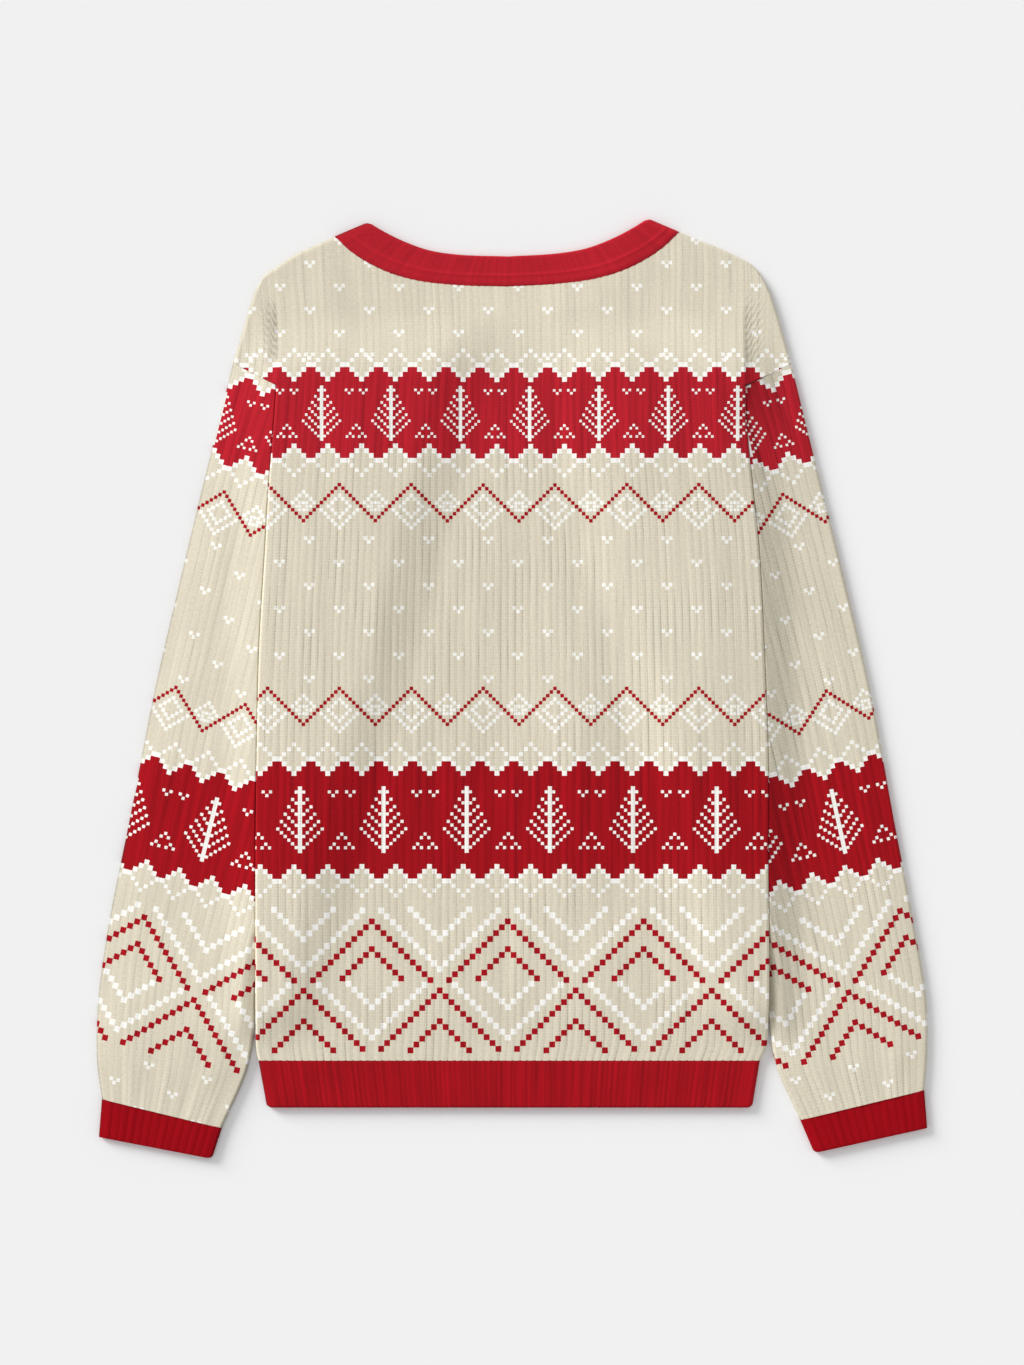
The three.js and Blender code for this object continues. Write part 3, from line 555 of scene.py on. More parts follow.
def curl(inset: Number) -> Number:
    """Returns the rounding of an edge where back and front curve towards each other, 1 on the flat."""
    part = np.clip(np.asarray(inset) / RIM_HEIGHT, 0.0, 1.0)
    return np.sqrt(1 - (1 - part) ** 2)


def back_neck_y(x: Number) -> Number:
    """Returns the height of the back neckline at a place across."""
    return NECK_BACK_Y + NECK_TILT * (x - NECK_MIDDLE_X) + NECK_SEAM_RISE(np.abs(x - NECK_MIDDLE_X))


def front_neck_y(x: Number) -> Number:
    """Returns the height of the front neckline at a place across."""
    across = np.minimum(np.abs(x - NECK_MIDDLE_X) / (NECK_CORNER_HALF + SEAM_GAP), 1.0)
    drop = (FRONT_NECK_DEPTH + SEAM_GAP) * np.sqrt(1 - across**2)
    return NECK_CORNER_Y + NECK_TILT * (x - NECK_MIDDLE_X) - drop


@dataclass(frozen=True)
class Placement:
    """Where the garment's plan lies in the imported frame, in millimetres."""

    shift_x: float
    shift_y: float

    @classmethod
    def from_frame(cls) -> "Placement":
        """Returns the placement that puts the neckband and the hem band on their nodes."""
        neck_low, neck_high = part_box("neckband")
        hem_low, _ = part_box("hem_rib")
        middle = (neck_low[0] + neck_high[0]) / 2 / MM
        return cls(middle - NECK_MIDDLE_X, hem_low[1] / MM - HEM_EDGE_Y)


@dataclass(frozen=True)
class PatternMap:
    """How a point of the plan reads the knitted pattern: turned about an anchor and moved."""

    turn: float = 0.0
    anchor: tuple[float, float] = (0.0, 0.0)
    chart_anchor: tuple[float, float] = (0.0, 0.0)
    stretch: float = 1.0

    def __call__(self, x: Array, y: Array) -> tuple[Array, Array]:
        """Returns the pattern's own coordinates of points of the plan."""
        dx, dy = x - self.anchor[0], y - self.anchor[1]
        cos, sin = math.cos(self.turn), math.sin(self.turn)
        return (
            self.chart_anchor[0] + dx * cos + dy * sin,
            self.chart_anchor[1] + (dy * cos - dx * sin) * self.stretch,
        )


BODY_MAP = PatternMap()
SLEEVE_MAPS = {
    Side.LEFT: PatternMap(math.radians(-13.9), (-229.8, 157.6), (-23.0, 163.2), 1.01),
    Side.RIGHT: PatternMap(math.radians(12.5), (216.2, 155.6), (-23.0, 163.2), 1.01),
}


def set_vectors(mesh: bpy.types.Mesh, label: str, values: Array) -> None:
    """Keeps a row of three numbers for each point of a mesh.

    Args:
        mesh: The mesh.
        label: Name of the attribute.
        values: One row for each point.
    """
    attribute = mesh.attributes.new(label, "FLOAT_VECTOR", "POINT")
    attribute.data.foreach_set("vector", values.ravel())


class Shell:
    """A closed shell of cloth, gathered from lines of points and the faces between them."""

    def __init__(self, pattern: PatternMap = BODY_MAP) -> None:
        """Starts an empty shell whose points read the pattern through a map."""
        self.pattern = pattern
        self.points: list[Array] = []
        self.stitches: list[Array] = []
        self.painted_shades: list[Array] = []
        self.faces: list[tuple[int, ...]] = []
        self.size = 0

    def line(
        self,
        x: Number,
        y: Number,
        z: Number,
        wale: Number = 0.0,
        course: Number = 0.0,
        ribbed: Number = 0.0,
        painted_shade: Number = 0.0,
    ) -> Array:
        """Adds a line of points.

        Args:
            x: Places across.
            y: Places along.
            z: Heights.
            wale: Ribs counted across up to each point.
            course: Rows of stitches counted along up to each point.
            ribbed: 1 where ribs are raised, else 0.
            painted_shade: Shade painted into the colour, 1 deep in a crease and on a rounded edge, 0 in the
                open, below 0 where light is painted.

        Returns:
            The numbers of the new points.
        """
        self.points.append(np.column_stack(np.broadcast_arrays(x, y, z)))
        count = len(self.points[-1])
        stitch = np.broadcast_arrays(wale, course, ribbed, np.zeros(count))[:3]
        self.stitches.append(np.column_stack(stitch))
        self.painted_shades.append(np.broadcast_to(painted_shade, (count,)))
        self.size += count
        return np.arange(self.size - count, self.size)

    def grid(self, lines: Sequence[Array], flipped: bool = False) -> None:
        """Joins lines of points into quads; a flipped grid faces the other way."""
        rows = np.array(lines)
        quads = np.stack([rows[:-1, :-1], rows[:-1, 1:], rows[1:, 1:], rows[1:, :-1]], axis=-1)
        if flipped:
            quads = quads[..., ::-1]
        self.faces.extend(map(tuple, quads.reshape(-1, 4).tolist()))

    def _places(self, line: Array) -> Array:
        """Returns how far along a line each of its points is, from 0 to 1, seen from above."""
        plan = np.concatenate(self.points)[line][:, :2]
        run = np.append(0.0, np.cumsum(np.hypot(*np.diff(plan, axis=0).T)))
        return run / run[-1]

    def strip(
        self,
        first: Array,
        second: Array,
        flipped: bool = False,
        places: Optional[tuple[Array, Array]] = None,
    ) -> None:
        """Joins two lines of points that need not have as many points.

        Args:
            first: Numbers of the first line's points.
            second: Numbers of the second line's points.
            flipped: True where the strip faces the other way.
            places: How far along its line each point is, or None to measure it.
        """
        first_places, second_places = places or (self._places(first), self._places(second))
        i = j = 0
        while i + 1 < len(first) or j + 1 < len(second):
            next_first = first_places[i + 1] if i + 1 < len(first) else math.inf
            next_second = second_places[j + 1] if j + 1 < len(second) else math.inf
            moves_first = next_first <= next_second
            corner = first[i + 1] if moves_first else second[j + 1]
            triangle = (int(first[i]), int(corner), int(second[j]))
            self.faces.append(triangle[::-1] if flipped else triangle)
            i, j = (i + 1, j) if moves_first else (i, j + 1)

    def piece(self, name: str, placement: Placement, face_down: bool = False) -> bpy.types.Object:
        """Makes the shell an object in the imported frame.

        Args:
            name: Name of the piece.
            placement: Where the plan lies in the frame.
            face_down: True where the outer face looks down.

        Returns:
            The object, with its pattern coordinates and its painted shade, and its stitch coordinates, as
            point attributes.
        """
        points = np.concatenate(self.points)
        placed = (points + (placement.shift_x, placement.shift_y, 0.0)) * MM
        faces = [face[::-1] for face in self.faces] if face_down else self.faces
        mesh = bpy.data.meshes.new(name)
        mesh.from_pydata(placed.tolist(), [], faces)
        across, along = self.pattern(points[:, 0], points[:, 1])
        stitches = np.concatenate(self.stitches)
        chart = np.column_stack([across * MM, along * MM, np.concatenate(self.painted_shades)])
        set_vectors(mesh, "pattern", chart)
        set_vectors(mesh, "stitch", stitches)
        mesh.shade_smooth()
        mesh.set_sharp_from_angle(angle=HARD_END)
        piece = bpy.data.objects.new(name, mesh)
        bpy.context.scene.collection.objects.link(piece)
        return piece


class Value:
    """A number in a node tree, with the arithmetic that a knitting chart needs."""

    def __init__(self, tree: bpy.types.NodeTree, socket: bpy.types.NodeSocket) -> None:
        """Wraps an output socket of a tree."""
        self.tree = tree
        self.socket = socket

    def math(self, operation: str, *others: Union["Value", float]) -> "Value":
        """Returns the result of a Math node whose first input is this value."""
        node = self.tree.nodes.new("ShaderNodeMath")
        node.operation = operation
        for slot, item in zip(node.inputs, (self, *others)):
            if isinstance(item, Value):
                self.tree.links.new(item.socket, slot)
            else:
                slot.default_value = item
        return Value(self.tree, node.outputs[0])

    def __add__(self, other: Union["Value", float]) -> "Value":
        """Returns the sum."""
        return self.math("ADD", other)

    def __sub__(self, other: Union["Value", float]) -> "Value":
        """Returns the difference."""
        return self.math("SUBTRACT", other)

    def __rsub__(self, other: float) -> "Value":
        """Returns a number less this value."""
        return self.math("MULTIPLY_ADD", -1.0, other)

    def __mul__(self, other: Union["Value", float]) -> "Value":
        """Returns the product."""
        return self.math("MULTIPLY", other)

    def __or__(self, other: "Value") -> "Value":
        """Returns 1 where either mask is 1."""
        return self.math("MAXIMUM", other)

    def __and__(self, other: "Value") -> "Value":
        """Returns 1 where both masks are 1."""
        return self.math("MULTIPLY", other)

    def __abs__(self) -> "Value":
        """Returns the value without its sign."""
        return self.math("ABSOLUTE")

    def rounded(self) -> "Value":
        """Returns the nearest whole number."""
        return self.math("ROUND")

    def below(self, limit: Union["Value", float]) -> "Value":
        """Returns 1 where the value is under a limit."""
        return self.math("LESS_THAN", limit)

    def above(self, limit: Union["Value", float]) -> "Value":
        """Returns 1 where the value is over a limit."""
        return self.math("GREATER_THAN", limit)

    def near(self, level: float, reach: float = 0.5) -> "Value":
        """Returns 1 where the value lies within reach of a level."""
        return self.math("COMPARE", level, reach)

    def mirrored(self, start: float, period: float) -> "Value":
        """Returns the distance to the nearest axis of a repeat that starts at a place."""
        return (self - start).math("PINGPONG", period / 2)


class Arms(NamedTuple):
    """Two arms of single stitches of the diamonds, that leave a tip on both sides of an axis."""

    axis: float
    tip: float
    rises: int
    reach: int


class Figure(NamedTuple):
    """Two arms of a white figure along a zigzag, with its tip counted in stitches below the peak."""

    drop: int
    rises: int
    reach: int


HALF_STITCH = 0.5
ZIGZAG_CELL = 2.864
ZIGZAG_REACH = 10
ZIGZAG_PERIOD = 2 * ZIGZAG_REACH * ZIGZAG_CELL
ZIGZAG_AXIS = -137.6
ZIGZAG_PEAKS = (163.2, 0.8)
PEAK_FIGURES = (Figure(3, -1, 3), Figure(9, 1, 3), Figure(12, 1, 5))
VALLEY_FIGURE = Figure(2, -1, 3)
FLOWER_DROP = 6.0
PETAL_REACH = 1.0
RAY_REACH = 2.0
DIAMOND_CELL = 4.68
DIAMOND_PERIOD = 108.56
RED_DIAMOND_ARMS = (
    Arms(-112.0, -185.3, -1, 10),
    Arms(-112.0, -207.4, -1, 5),
    Arms(-166.3, -240.4, -1, 10),
    Arms(-166.3, -265.0, -1, 5),
)
WHITE_DIAMOND_ARMS = (
    Arms(-112.0, -253.8, 1, 4),
    Arms(-112.0, -278.1, 1, 9),
    Arms(-166.3, -223.4, 1, 10),
    Arms(-166.3, -199.1, 1, 5),
)


class Band(NamedTuple):
    """A red band with scalloped edges, a row of trees and small sprigs between them."""

    middle: float
    half: float
    tree_axis: float
    tree_period: float
    tree_top: float
    cell: float
    sprig_tip: float
    cone_tip: float


BANDS = (
    Band(220.7, 38.2, -151.8, 55.28, 240.9, 2.44, 236.2, 210.6),
    Band(-104.2, 48.8, -169.0, 66.4, -78.8, 2.95, -84.6, -115.4),
)
SCALLOP_CELL = 3.851
SCALLOP_PERIOD = 7 * SCALLOP_CELL
SCALLOP_AXIS = -173.8
SCALLOP_STEPS = 3.0


class Sprinkle(NamedTuple):
    """Rows of small sprigs, set half a repeat apart from row to row."""

    axis: float
    top: float
    rows: int


SPRINKLES = (
    Sprinkle(-161.6, 377.2, 7),
    Sprinkle(-161.6, 119.6, 7),
    Sprinkle(-161.6, -300.2, 3),
)
SPRIG_PERIOD = 47.52
SPRIG_SPACING = 18.5
SPRIG_CELL = 2.85
SPRIG_TIP_DROP = 1.9
TREE_ROWS = 17
TREE_BRANCHES = 5
BRANCH_MIDDLE = 2.0
BRANCH_START = 5.0
BRANCH_SPACING = 3
BRANCH_REACH = 2.5
BRANCH_SLACK = 0.1
TRUNK_HALF = 0.55
SPRIG_SPREAD = 2.3
CONE_SPREAD = 2
CONE_DROP = 2.7
DOT = 1.02
SMALL_DOT = 0.82
THREADS_PER_RIB = 3.0


def srgb(red: int, green: int, blue: int) -> tuple[float, float, float, float]:
    """Returns a colour seen on a screen as light amounts, with full cover."""
    levels = [level / 255 for level in (red, green, blue)]
    linear = [v / 12.92 if v <= 0.04045 else ((v + 0.055) / 1.055) ** 2.4 for v in levels]
    return (*linear, 1.0)


@dataclass(frozen=True)
class Yarns:
    """Colours of the yarns as they look in soft light."""

    cream: tuple[float, float, float, float] = srgb(217, 209, 188)
    white: tuple[float, float, float, float] = srgb(246, 244, 238)
    # A lighter red, painted light on the upper band as the upper part lies in more light; the neckband is
    # knitted in it too.
    bright_red: tuple[float, float, float, float] = srgb(178, 28, 41)
    red: tuple[float, float, float, float] = srgb(160, 9, 22)
    dot_red: tuple[float, float, float, float] = srgb(164, 12, 26)
    cuff_red: tuple[float, float, float, float] = srgb(152, 8, 20)


YARNS = Yarns()


class Chart:
    """The traditional stitch patterns of the garment as masks over its pattern coordinates."""

    def __init__(self, across: Value, along: Value) -> None:
        """Takes the pattern coordinates in millimetres."""
        self.across = across
        self.along = along

    def dotted(
        self, off: Value, down: Value, rows: Value, cell: float, dot: float = DOT
    ) -> Value:
        """Returns a mask of square stitches.

        Args:
            off: Distance from the stitch's column.
            down: Place along the stitch's own direction.
            rows: Where the stitch's middle is along that direction.
            cell: Size of a stitch's square.
            dot: Share of the square that the stitch fills.

        Returns:
            The mask.
        """
        return (off | abs(down - rows)).below(cell * dot / 2)

    def arms(self, off: Value, tip: Union[Value, float], rises: int, reach: int, cell: float,
             dot: float = DOT) -> Value:
        """Returns a mask of two arms of stitches from a tip.

        Args:
            off: Distance from the axis.
            tip: Height of the tip, or how far each point is above it as a value.
            rises: 1 where the arms rise from the tip, -1 where they fall.
            reach: Stitches in each arm past the tip.
            cell: Size of a stitch's square.
            dot: Share of the square that a stitch fills.

        Returns:
            The mask.
        """
        above_tip = tip if isinstance(tip, Value) else self.along - tip
        column = (off * (1 / cell)).rounded().math("MINIMUM", float(reach))
        run = column * cell
        return self.dotted(abs(off - run), above_tip * float(rises), run, cell, dot)

    def diamond(self, row: Arms) -> Value:
        """Returns the mask of one row of a table of the diamonds' arms."""
        off = self.across.mirrored(row.axis, DIAMOND_PERIOD)
        return self.arms(off, row.tip, row.rises, row.reach, DIAMOND_CELL)

    def scallops(self, band: Band) -> tuple[Value, Value]:
        """Returns the masks of a band's white scalloped edge and of its red ground."""
        off = self.across.mirrored(SCALLOP_AXIS, SCALLOP_PERIOD)
        column = (off * (1 / SCALLOP_CELL)).rounded()
        into = band.half - abs(self.along - band.middle)
        row = (into * (1 / SCALLOP_CELL)).rounded()
        edge = (column + row).near(SCALLOP_STEPS) & row.above(-HALF_STITCH)
        ground = (column + row).above(SCALLOP_STEPS + HALF_STITCH)
        points = (column - row).near(SCALLOP_STEPS) & row.below(-HALF_STITCH)
        spots = self.dotted(
            abs(off - column * SCALLOP_CELL), into, row * SCALLOP_CELL, SCALLOP_CELL, SMALL_DOT
        )
        return edge | (points & spots), ground

    def trees(self, band: Band) -> Value:
        """Returns the mask of a band's trees and of the sprigs and cones between them."""
        cell = band.cell
        off = self.across.mirrored(band.tree_axis, band.tree_period)
        down = band.tree_top - self.along
        column = (off * (1 / cell)).rounded()
        row = (down * (1 / cell)).rounded()
        stitch = self.dotted(abs(off - column * cell), down, row * cell, cell, SMALL_DOT)
        branch = (column + row - BRANCH_START) * (1 / BRANCH_SPACING)
        whole = abs(branch - branch.rounded()).below(BRANCH_SLACK)
        on_branch = whole & branch.near(BRANCH_MIDDLE, TREE_BRANCHES / 2)
        branches = on_branch & (column - branch).below(BRANCH_REACH) & column.above(HALF_STITCH)
        tip = column.near(1.0) & row.near(1.0)
        trunk = off.below(cell * TRUNK_HALF) & row.near(TREE_ROWS / 2, TREE_ROWS / 2 + HALF_STITCH)
        between_off = self.across.mirrored(band.tree_axis + band.tree_period / 2, band.tree_period)
        beside = abs(between_off - SPRIG_SPREAD * cell)
        sprigs = self.arms(beside, band.sprig_tip, 1, 1, cell, SMALL_DOT)
        cones = self.arms(between_off, band.cone_tip, -1, 1, cell, SMALL_DOT)
        beside = abs(between_off - CONE_SPREAD * cell)
        low_cones = self.arms(beside, band.cone_tip - CONE_DROP * cell, -1, 1, cell, SMALL_DOT)
        return (stitch & (branches | tip)) | trunk | sprigs | cones | low_cones

    def zigzag(self, peak: float) -> tuple[Value, Value]:
        """Returns the masks of a red zigzag and of the white figures along it."""
        cell = ZIGZAG_CELL
        off = self.across.mirrored(ZIGZAG_AXIS, ZIGZAG_PERIOD)
        valley = self.across.mirrored(ZIGZAG_AXIS + ZIGZAG_PERIOD / 2, ZIGZAG_PERIOD)
        line = self.arms(off, peak, -1, ZIGZAG_REACH, cell)
        low = VALLEY_FIGURE
        white = self.arms(valley, peak - low.drop * cell, low.rises, low.reach, cell)
        for figure in PEAK_FIGURES:
            white = white | self.arms(off, peak - figure.drop * cell, figure.rises, figure.reach, cell)
        column = (valley * (1 / cell)).rounded()
        down = peak - self.along
        stitches_down = (down * (1 / cell)).rounded()
        row = abs(stitches_down - FLOWER_DROP)
        stitch = self.dotted(abs(valley - column * cell), down, stitches_down * cell, cell, SMALL_DOT)
        reach = PETAL_REACH + HALF_STITCH
        petals = column.below(reach) & row.below(reach) & (column + row).above(HALF_STITCH)
        rays = column.near(RAY_REACH) & row.below(HALF_STITCH)
        return line, white | (stitch & (petals | rays))

    def sprinkle(self, field_rows: Sprinkle) -> Value:
        """Returns the mask of a field of small sprigs."""
        row = (field_rows.top - self.along) * (1 / SPRIG_SPACING)
        row = row.rounded().math("MAXIMUM", 0.0).math("MINIMUM", field_rows.rows - 1.0)
        shifted = self.across + row.math("MODULO", 2.0) * (SPRIG_PERIOD / 2)
        off = shifted.mirrored(field_rows.axis, SPRIG_PERIOD)
        above_tip = self.along - field_rows.top + row * SPRIG_SPACING + SPRIG_TIP_DROP
        return self.arms(off, above_tip, 1, 1, SPRIG_CELL)

    def masks(self) -> tuple[Value, Value, Value]:
        """Returns the masks of the red bands, of the other red stitches and of the white ones."""
        edges, grounds = zip(*(self.scallops(band) for band in BANDS))
        lines, figures = zip(*(self.zigzag(peak) for peak in ZIGZAG_PEAKS))
        red = lines[0] | lines[1]
        white = figures[0] | figures[1] | edges[0] | edges[1]
        for row in RED_DIAMOND_ARMS:
            red = red | self.diamond(row)
        for row in WHITE_DIAMOND_ARMS:
            white = white | self.diamond(row)
        for rows in SPRINKLES:
            white = white | self.sprinkle(rows)
        for band in BANDS:
            white = white | self.trees(band)
        return grounds[0] | grounds[1], red, white


class Grain(NamedTuple):
    """How fine an unevenness is across the ribs and along the rows of stitches."""

    across: float
    along: float


# Streaks along the ribs, soft patches, specks, shade painted in the grooves and between the threads,
# wandering edges of the patterns
STREAK_GRAIN = Grain(1.3, 0.018)
MOTTLE_GRAIN = Grain(0.16, 0.06)
SPECKLE_GRAIN = Grain(6.0, 0.9)
GROOVE_GRAIN = Grain(5.3, 0.03)
THREAD_GRAIN = Grain(4.1, 0.03)
EDGE_GRAIN = Grain(0.8, 0.8)

# How fine the unevenness of the ribs' height is
RELIEF_GRAIN = 1.3
RELIEF_GRAIN_ALONG = 0.02

# Sockets of the nodes that have more than one of a name
MIX_BELOW = 6
MIX_ABOVE = 7
MIX_RESULT = 2
RANDOM_LOW = 2
RANDOM_HIGH = 3


@dataclass(frozen=True)
class KnitLook:
    """How a knit takes the light: its gloss, its stitches, how uneven its colour is, and how strongly shade
    is painted into its grooves, creases and edges.
    """

    roughness: float = 0.94
    gloss: float = 0.12
    sheen: float = 0.06
    sheen_roughness: float = 0.5
    stitch_height: float = 0.3 * MM
    stitch_strength: float = 0.06
    stitch_slant: float = 0.5
    groove_narrowness: float = 4.0
    thread_narrowness: float = 3.0
    depth_mean: float = 0.38
    depth_swing: float = 3.0
    depth_mottle: float = 2.5
    bead_depth: float = 0.25
    painted_groove_shade: float = 0.46
    painted_thread_shade: float = 0.42
    streak_shade: float = 0.3
    red_streak_shade: float = 0.6
    mottle_shade: float = 0.25
    speckle_shade: float = 0.3
    painted_shade_strength: float = 0.45
    edge_wander: float = 0.5


class KnitFinish:
    """Builds the material of one knit from its yarns and its look."""

    def __init__(self, name: str, look: KnitLook, ground: tuple[float, ...], charted: bool) -> None:
        """Names the finish.

        Args:
            name: Name of the material.
            look: How the knit takes the light.
            ground: Colour of the ground yarn.
            charted: True where the stitch patterns are knitted in.
        """
        self.look = look
        self.ground = ground
        self.charted = charted
        self.material = bpy.data.materials.new(name)
        self.material.use_nodes = True
        self.tree = self.material.node_tree
        self.shader = self.tree.nodes["Principled BSDF"]
        self._dress()

    def _attribute(self, name: str) -> list[Value]:
        """Returns the parts of a point attribute."""
        source = self.tree.nodes.new("ShaderNodeAttribute")
        source.attribute_name = name
        parts = self.tree.nodes.new("ShaderNodeSeparateXYZ")
        self.tree.links.new(source.outputs["Vector"], parts.inputs[0])
        return [Value(self.tree, socket) for socket in parts.outputs]

    def _noise(self, x: Value, y: Value, grain: Grain, detail: float = 2.0) -> Value:
        """Returns smooth noise over two coordinates, about 0 on average."""
        place = self.tree.nodes.new("ShaderNodeCombineXYZ")
        self.tree.links.new((x * grain.across).socket, place.inputs[0])
        self.tree.links.new((y * grain.along).socket, place.inputs[1])
        noise = self.tree.nodes.new("ShaderNodeTexNoise")
        noise.inputs["Scale"].default_value = 1.0
        noise.inputs["Detail"].default_value = detail
        self.tree.links.new(place.outputs[0], noise.inputs["Vector"])
        return Value(self.tree, noise.outputs[0]) - 0.5

    def _depth(self, row: Value, course: Value, mottle: Value, grain: Grain) -> Value:
        """Returns how deep the shade painted in each of a row of grooves is along its length, from 0 to 1."""
        look = self.look
        swing = self._noise(row, course, grain) * look.depth_swing
        depth = swing + mottle * look.depth_mottle + look.depth_mean
        return depth.math("MAXIMUM", 0.0).math("MINIMUM", 1.0)

    def _blend(self, below: bpy.types.NodeSocket, colour: tuple[float, ...], mask: Value
               ) -> bpy.types.NodeSocket:
        """Lays a colour over another where a mask is 1 and returns the result's socket."""
        node = self.tree.nodes.new("ShaderNodeMix")
        node.data_type = "RGBA"
        self.tree.links.new(mask.socket, node.inputs[0])
        self.tree.links.new(below, node.inputs[MIX_BELOW])
        node.inputs[MIX_ABOVE].default_value = colour
        return node.outputs[MIX_RESULT]

    def _dress(self) -> None:
        """Fills the material's node tree."""
        look = self.look
        wale, course, ribbed = self._attribute("stitch")
        across, along, painted_shade = self._attribute("pattern")
        groove = abs((wale.math("FRACT") * 2.0) - 1.0)
        ground = self.tree.nodes.new("ShaderNodeRGB")
        ground.outputs[0].default_value = self.ground
        colour = ground.outputs[0]
        streaks = self._noise(wale, course, STREAK_GRAIN)
        mottle = self._noise(wale, course, MOTTLE_GRAIN)
        shade = streaks * look.streak_shade
        if self.charted:
            colour, red = self._charted(colour, across * (1 / MM), along * (1 / MM))
            shade = shade + streaks * red * look.red_streak_shade
        thread = wale * THREADS_PER_RIB
        line = abs((thread.math("FRACT") * 2.0) - 1.0).math("POWER", look.thread_narrowness)
        groove_depth = self._depth(wale.rounded(), course, mottle, GROOVE_GRAIN)
        thread_depth = self._depth(thread.rounded(), course, mottle, THREAD_GRAIN)
        # Shade is painted into the rib grooves and into finer lines between the threads, dotted along the
        # rows of stitches.
        groove_painted_shade = groove.math("POWER", look.groove_narrowness) * groove_depth
        groove_painted_shade = groove_painted_shade + line * thread_depth * look.painted_thread_shade
        beads = (course * (2 * math.pi)).math("SINE") * look.bead_depth + (1 - look.bead_depth)
        groove_painted_shade = groove_painted_shade * beads * ribbed * look.painted_groove_shade
        speckle = self._noise(wale, course, SPECKLE_GRAIN, detail=1.0)
        shade = shade + mottle * look.mottle_shade + speckle * look.speckle_shade - groove_painted_shade + 1.0
        # Shade painted in creases, on rounded edges and beside the body darkens the colour; where it is below
        # 0, light is painted instead.
        shade = shade - painted_shade * look.painted_shade_strength
        scaled = self.tree.nodes.new("ShaderNodeVectorMath")
        scaled.operation = "SCALE"
        self.tree.links.new(colour, scaled.inputs[0])
        self.tree.links.new(shade.socket, scaled.inputs["Scale"])
        self.tree.links.new(scaled.outputs[0], self.shader.inputs["Base Color"])
        self.shader.inputs["Roughness"].default_value = look.roughness
        self.shader.inputs["Specular IOR Level"].default_value = look.gloss
        self.shader.inputs["Sheen Weight"].default_value = look.sheen
        self.shader.inputs["Sheen Roughness"].default_value = look.sheen_roughness
        self._stitches(groove, course)

    def _charted(self, colour: bpy.types.NodeSocket, across: Value, along: Value
                 ) -> tuple[bpy.types.NodeSocket, Value]:
        """Knits the stitch patterns into a colour.

        Args:
            colour: The ground's colour.
            across: Pattern coordinate across, in millimetres.
            along: Pattern coordinate along, in millimetres.

        Returns:
            The patterned colour and the mask of its reds.
        """
        wander = self._noise(across, along, EDGE_GRAIN, detail=1.0) * self.look.edge_wander
        band, red, white = Chart(across + wander, along + wander).masks()
        colour = self._blend(colour, YARNS.dot_red, red)
        colour = self._blend(colour, YARNS.red, band)
        # The upper band is given the lighter red as painted light.
        colour = self._blend(colour, YARNS.bright_red, band & along.above(0.0))
        return self._blend(colour, YARNS.white, white), (band | red) & (1.0 - white)

    def _stitches(self, groove: Value, course: Value) -> None:
        """Raises the loops of each rib, slanting up from its grooves to its middle."""
        wave = ((course - groove * self.look.stitch_slant) * (2 * math.pi)).math("SINE")
        flank = 1.0 - groove.math("POWER", self.look.groove_narrowness)
        bump = self.tree.nodes.new("ShaderNodeBump")
        bump.inputs["Strength"].default_value = self.look.stitch_strength
        bump.inputs["Distance"].default_value = self.look.stitch_height
        self.tree.links.new((wave * flank).socket, bump.inputs["Height"])
        self.tree.links.new(bump.outputs[0], self.shader.inputs["Normal"])


class TreeBuilder:
    """Helps to lay out a geometry node tree with named inputs."""

    def __init__(self, name: str, inputs: Sequence[tuple[str, str]]) -> None:
        """Starts a tree that takes geometry and more named inputs.

        Args:
            name: Name of the tree.
            inputs: Name and socket type of each input after the geometry.
        """
        self.tree = bpy.data.node_groups.new(name, "GeometryNodeTree")
        sockets = self.tree.interface
        sockets.new_socket("Geometry", in_out="INPUT", socket_type="NodeSocketGeometry")
        for label, kind in inputs:
            sockets.new_socket(label, in_out="INPUT", socket_type=kind)
        sockets.new_socket("Geometry", in_out="OUTPUT", socket_type="NodeSocketGeometry")
        self.source = self.tree.nodes.new("NodeGroupInput")
        self.result = self.tree.nodes.new("NodeGroupOutput")

    def node(self, kind: str, **inputs: object) -> bpy.types.Node:
        """Adds a node and links or sets its inputs, named with underscores for spaces."""
        node = self.tree.nodes.new(kind)
        for label, item in inputs.items():
            slot = node.inputs[label.replace("_", " ")]
            if isinstance(item, Value):
                self.tree.links.new(item.socket, slot)
            elif isinstance(item, bpy.types.NodeSocket):
                self.tree.links.new(item, slot)
            else:
                slot.default_value = item
        return node

    def value(self, name: str) -> Value:
        """Returns one of the tree's named inputs as a number."""
        return Value(self.tree, self.source.outputs[name])

    def finish(self, geometry: bpy.types.NodeSocket) -> bpy.types.NodeTree:
        """Ends the tree in real geometry with its material, and returns it."""
        real = self.node("GeometryNodeRealizeInstances", Geometry=geometry)
        dressed = self.node(
            "GeometryNodeSetMaterial", Geometry=real.outputs[0], Material=self.source.outputs["Material"]
        )
        self.tree.links.new(dressed.outputs[0], self.result.inputs[0])
        return self.tree


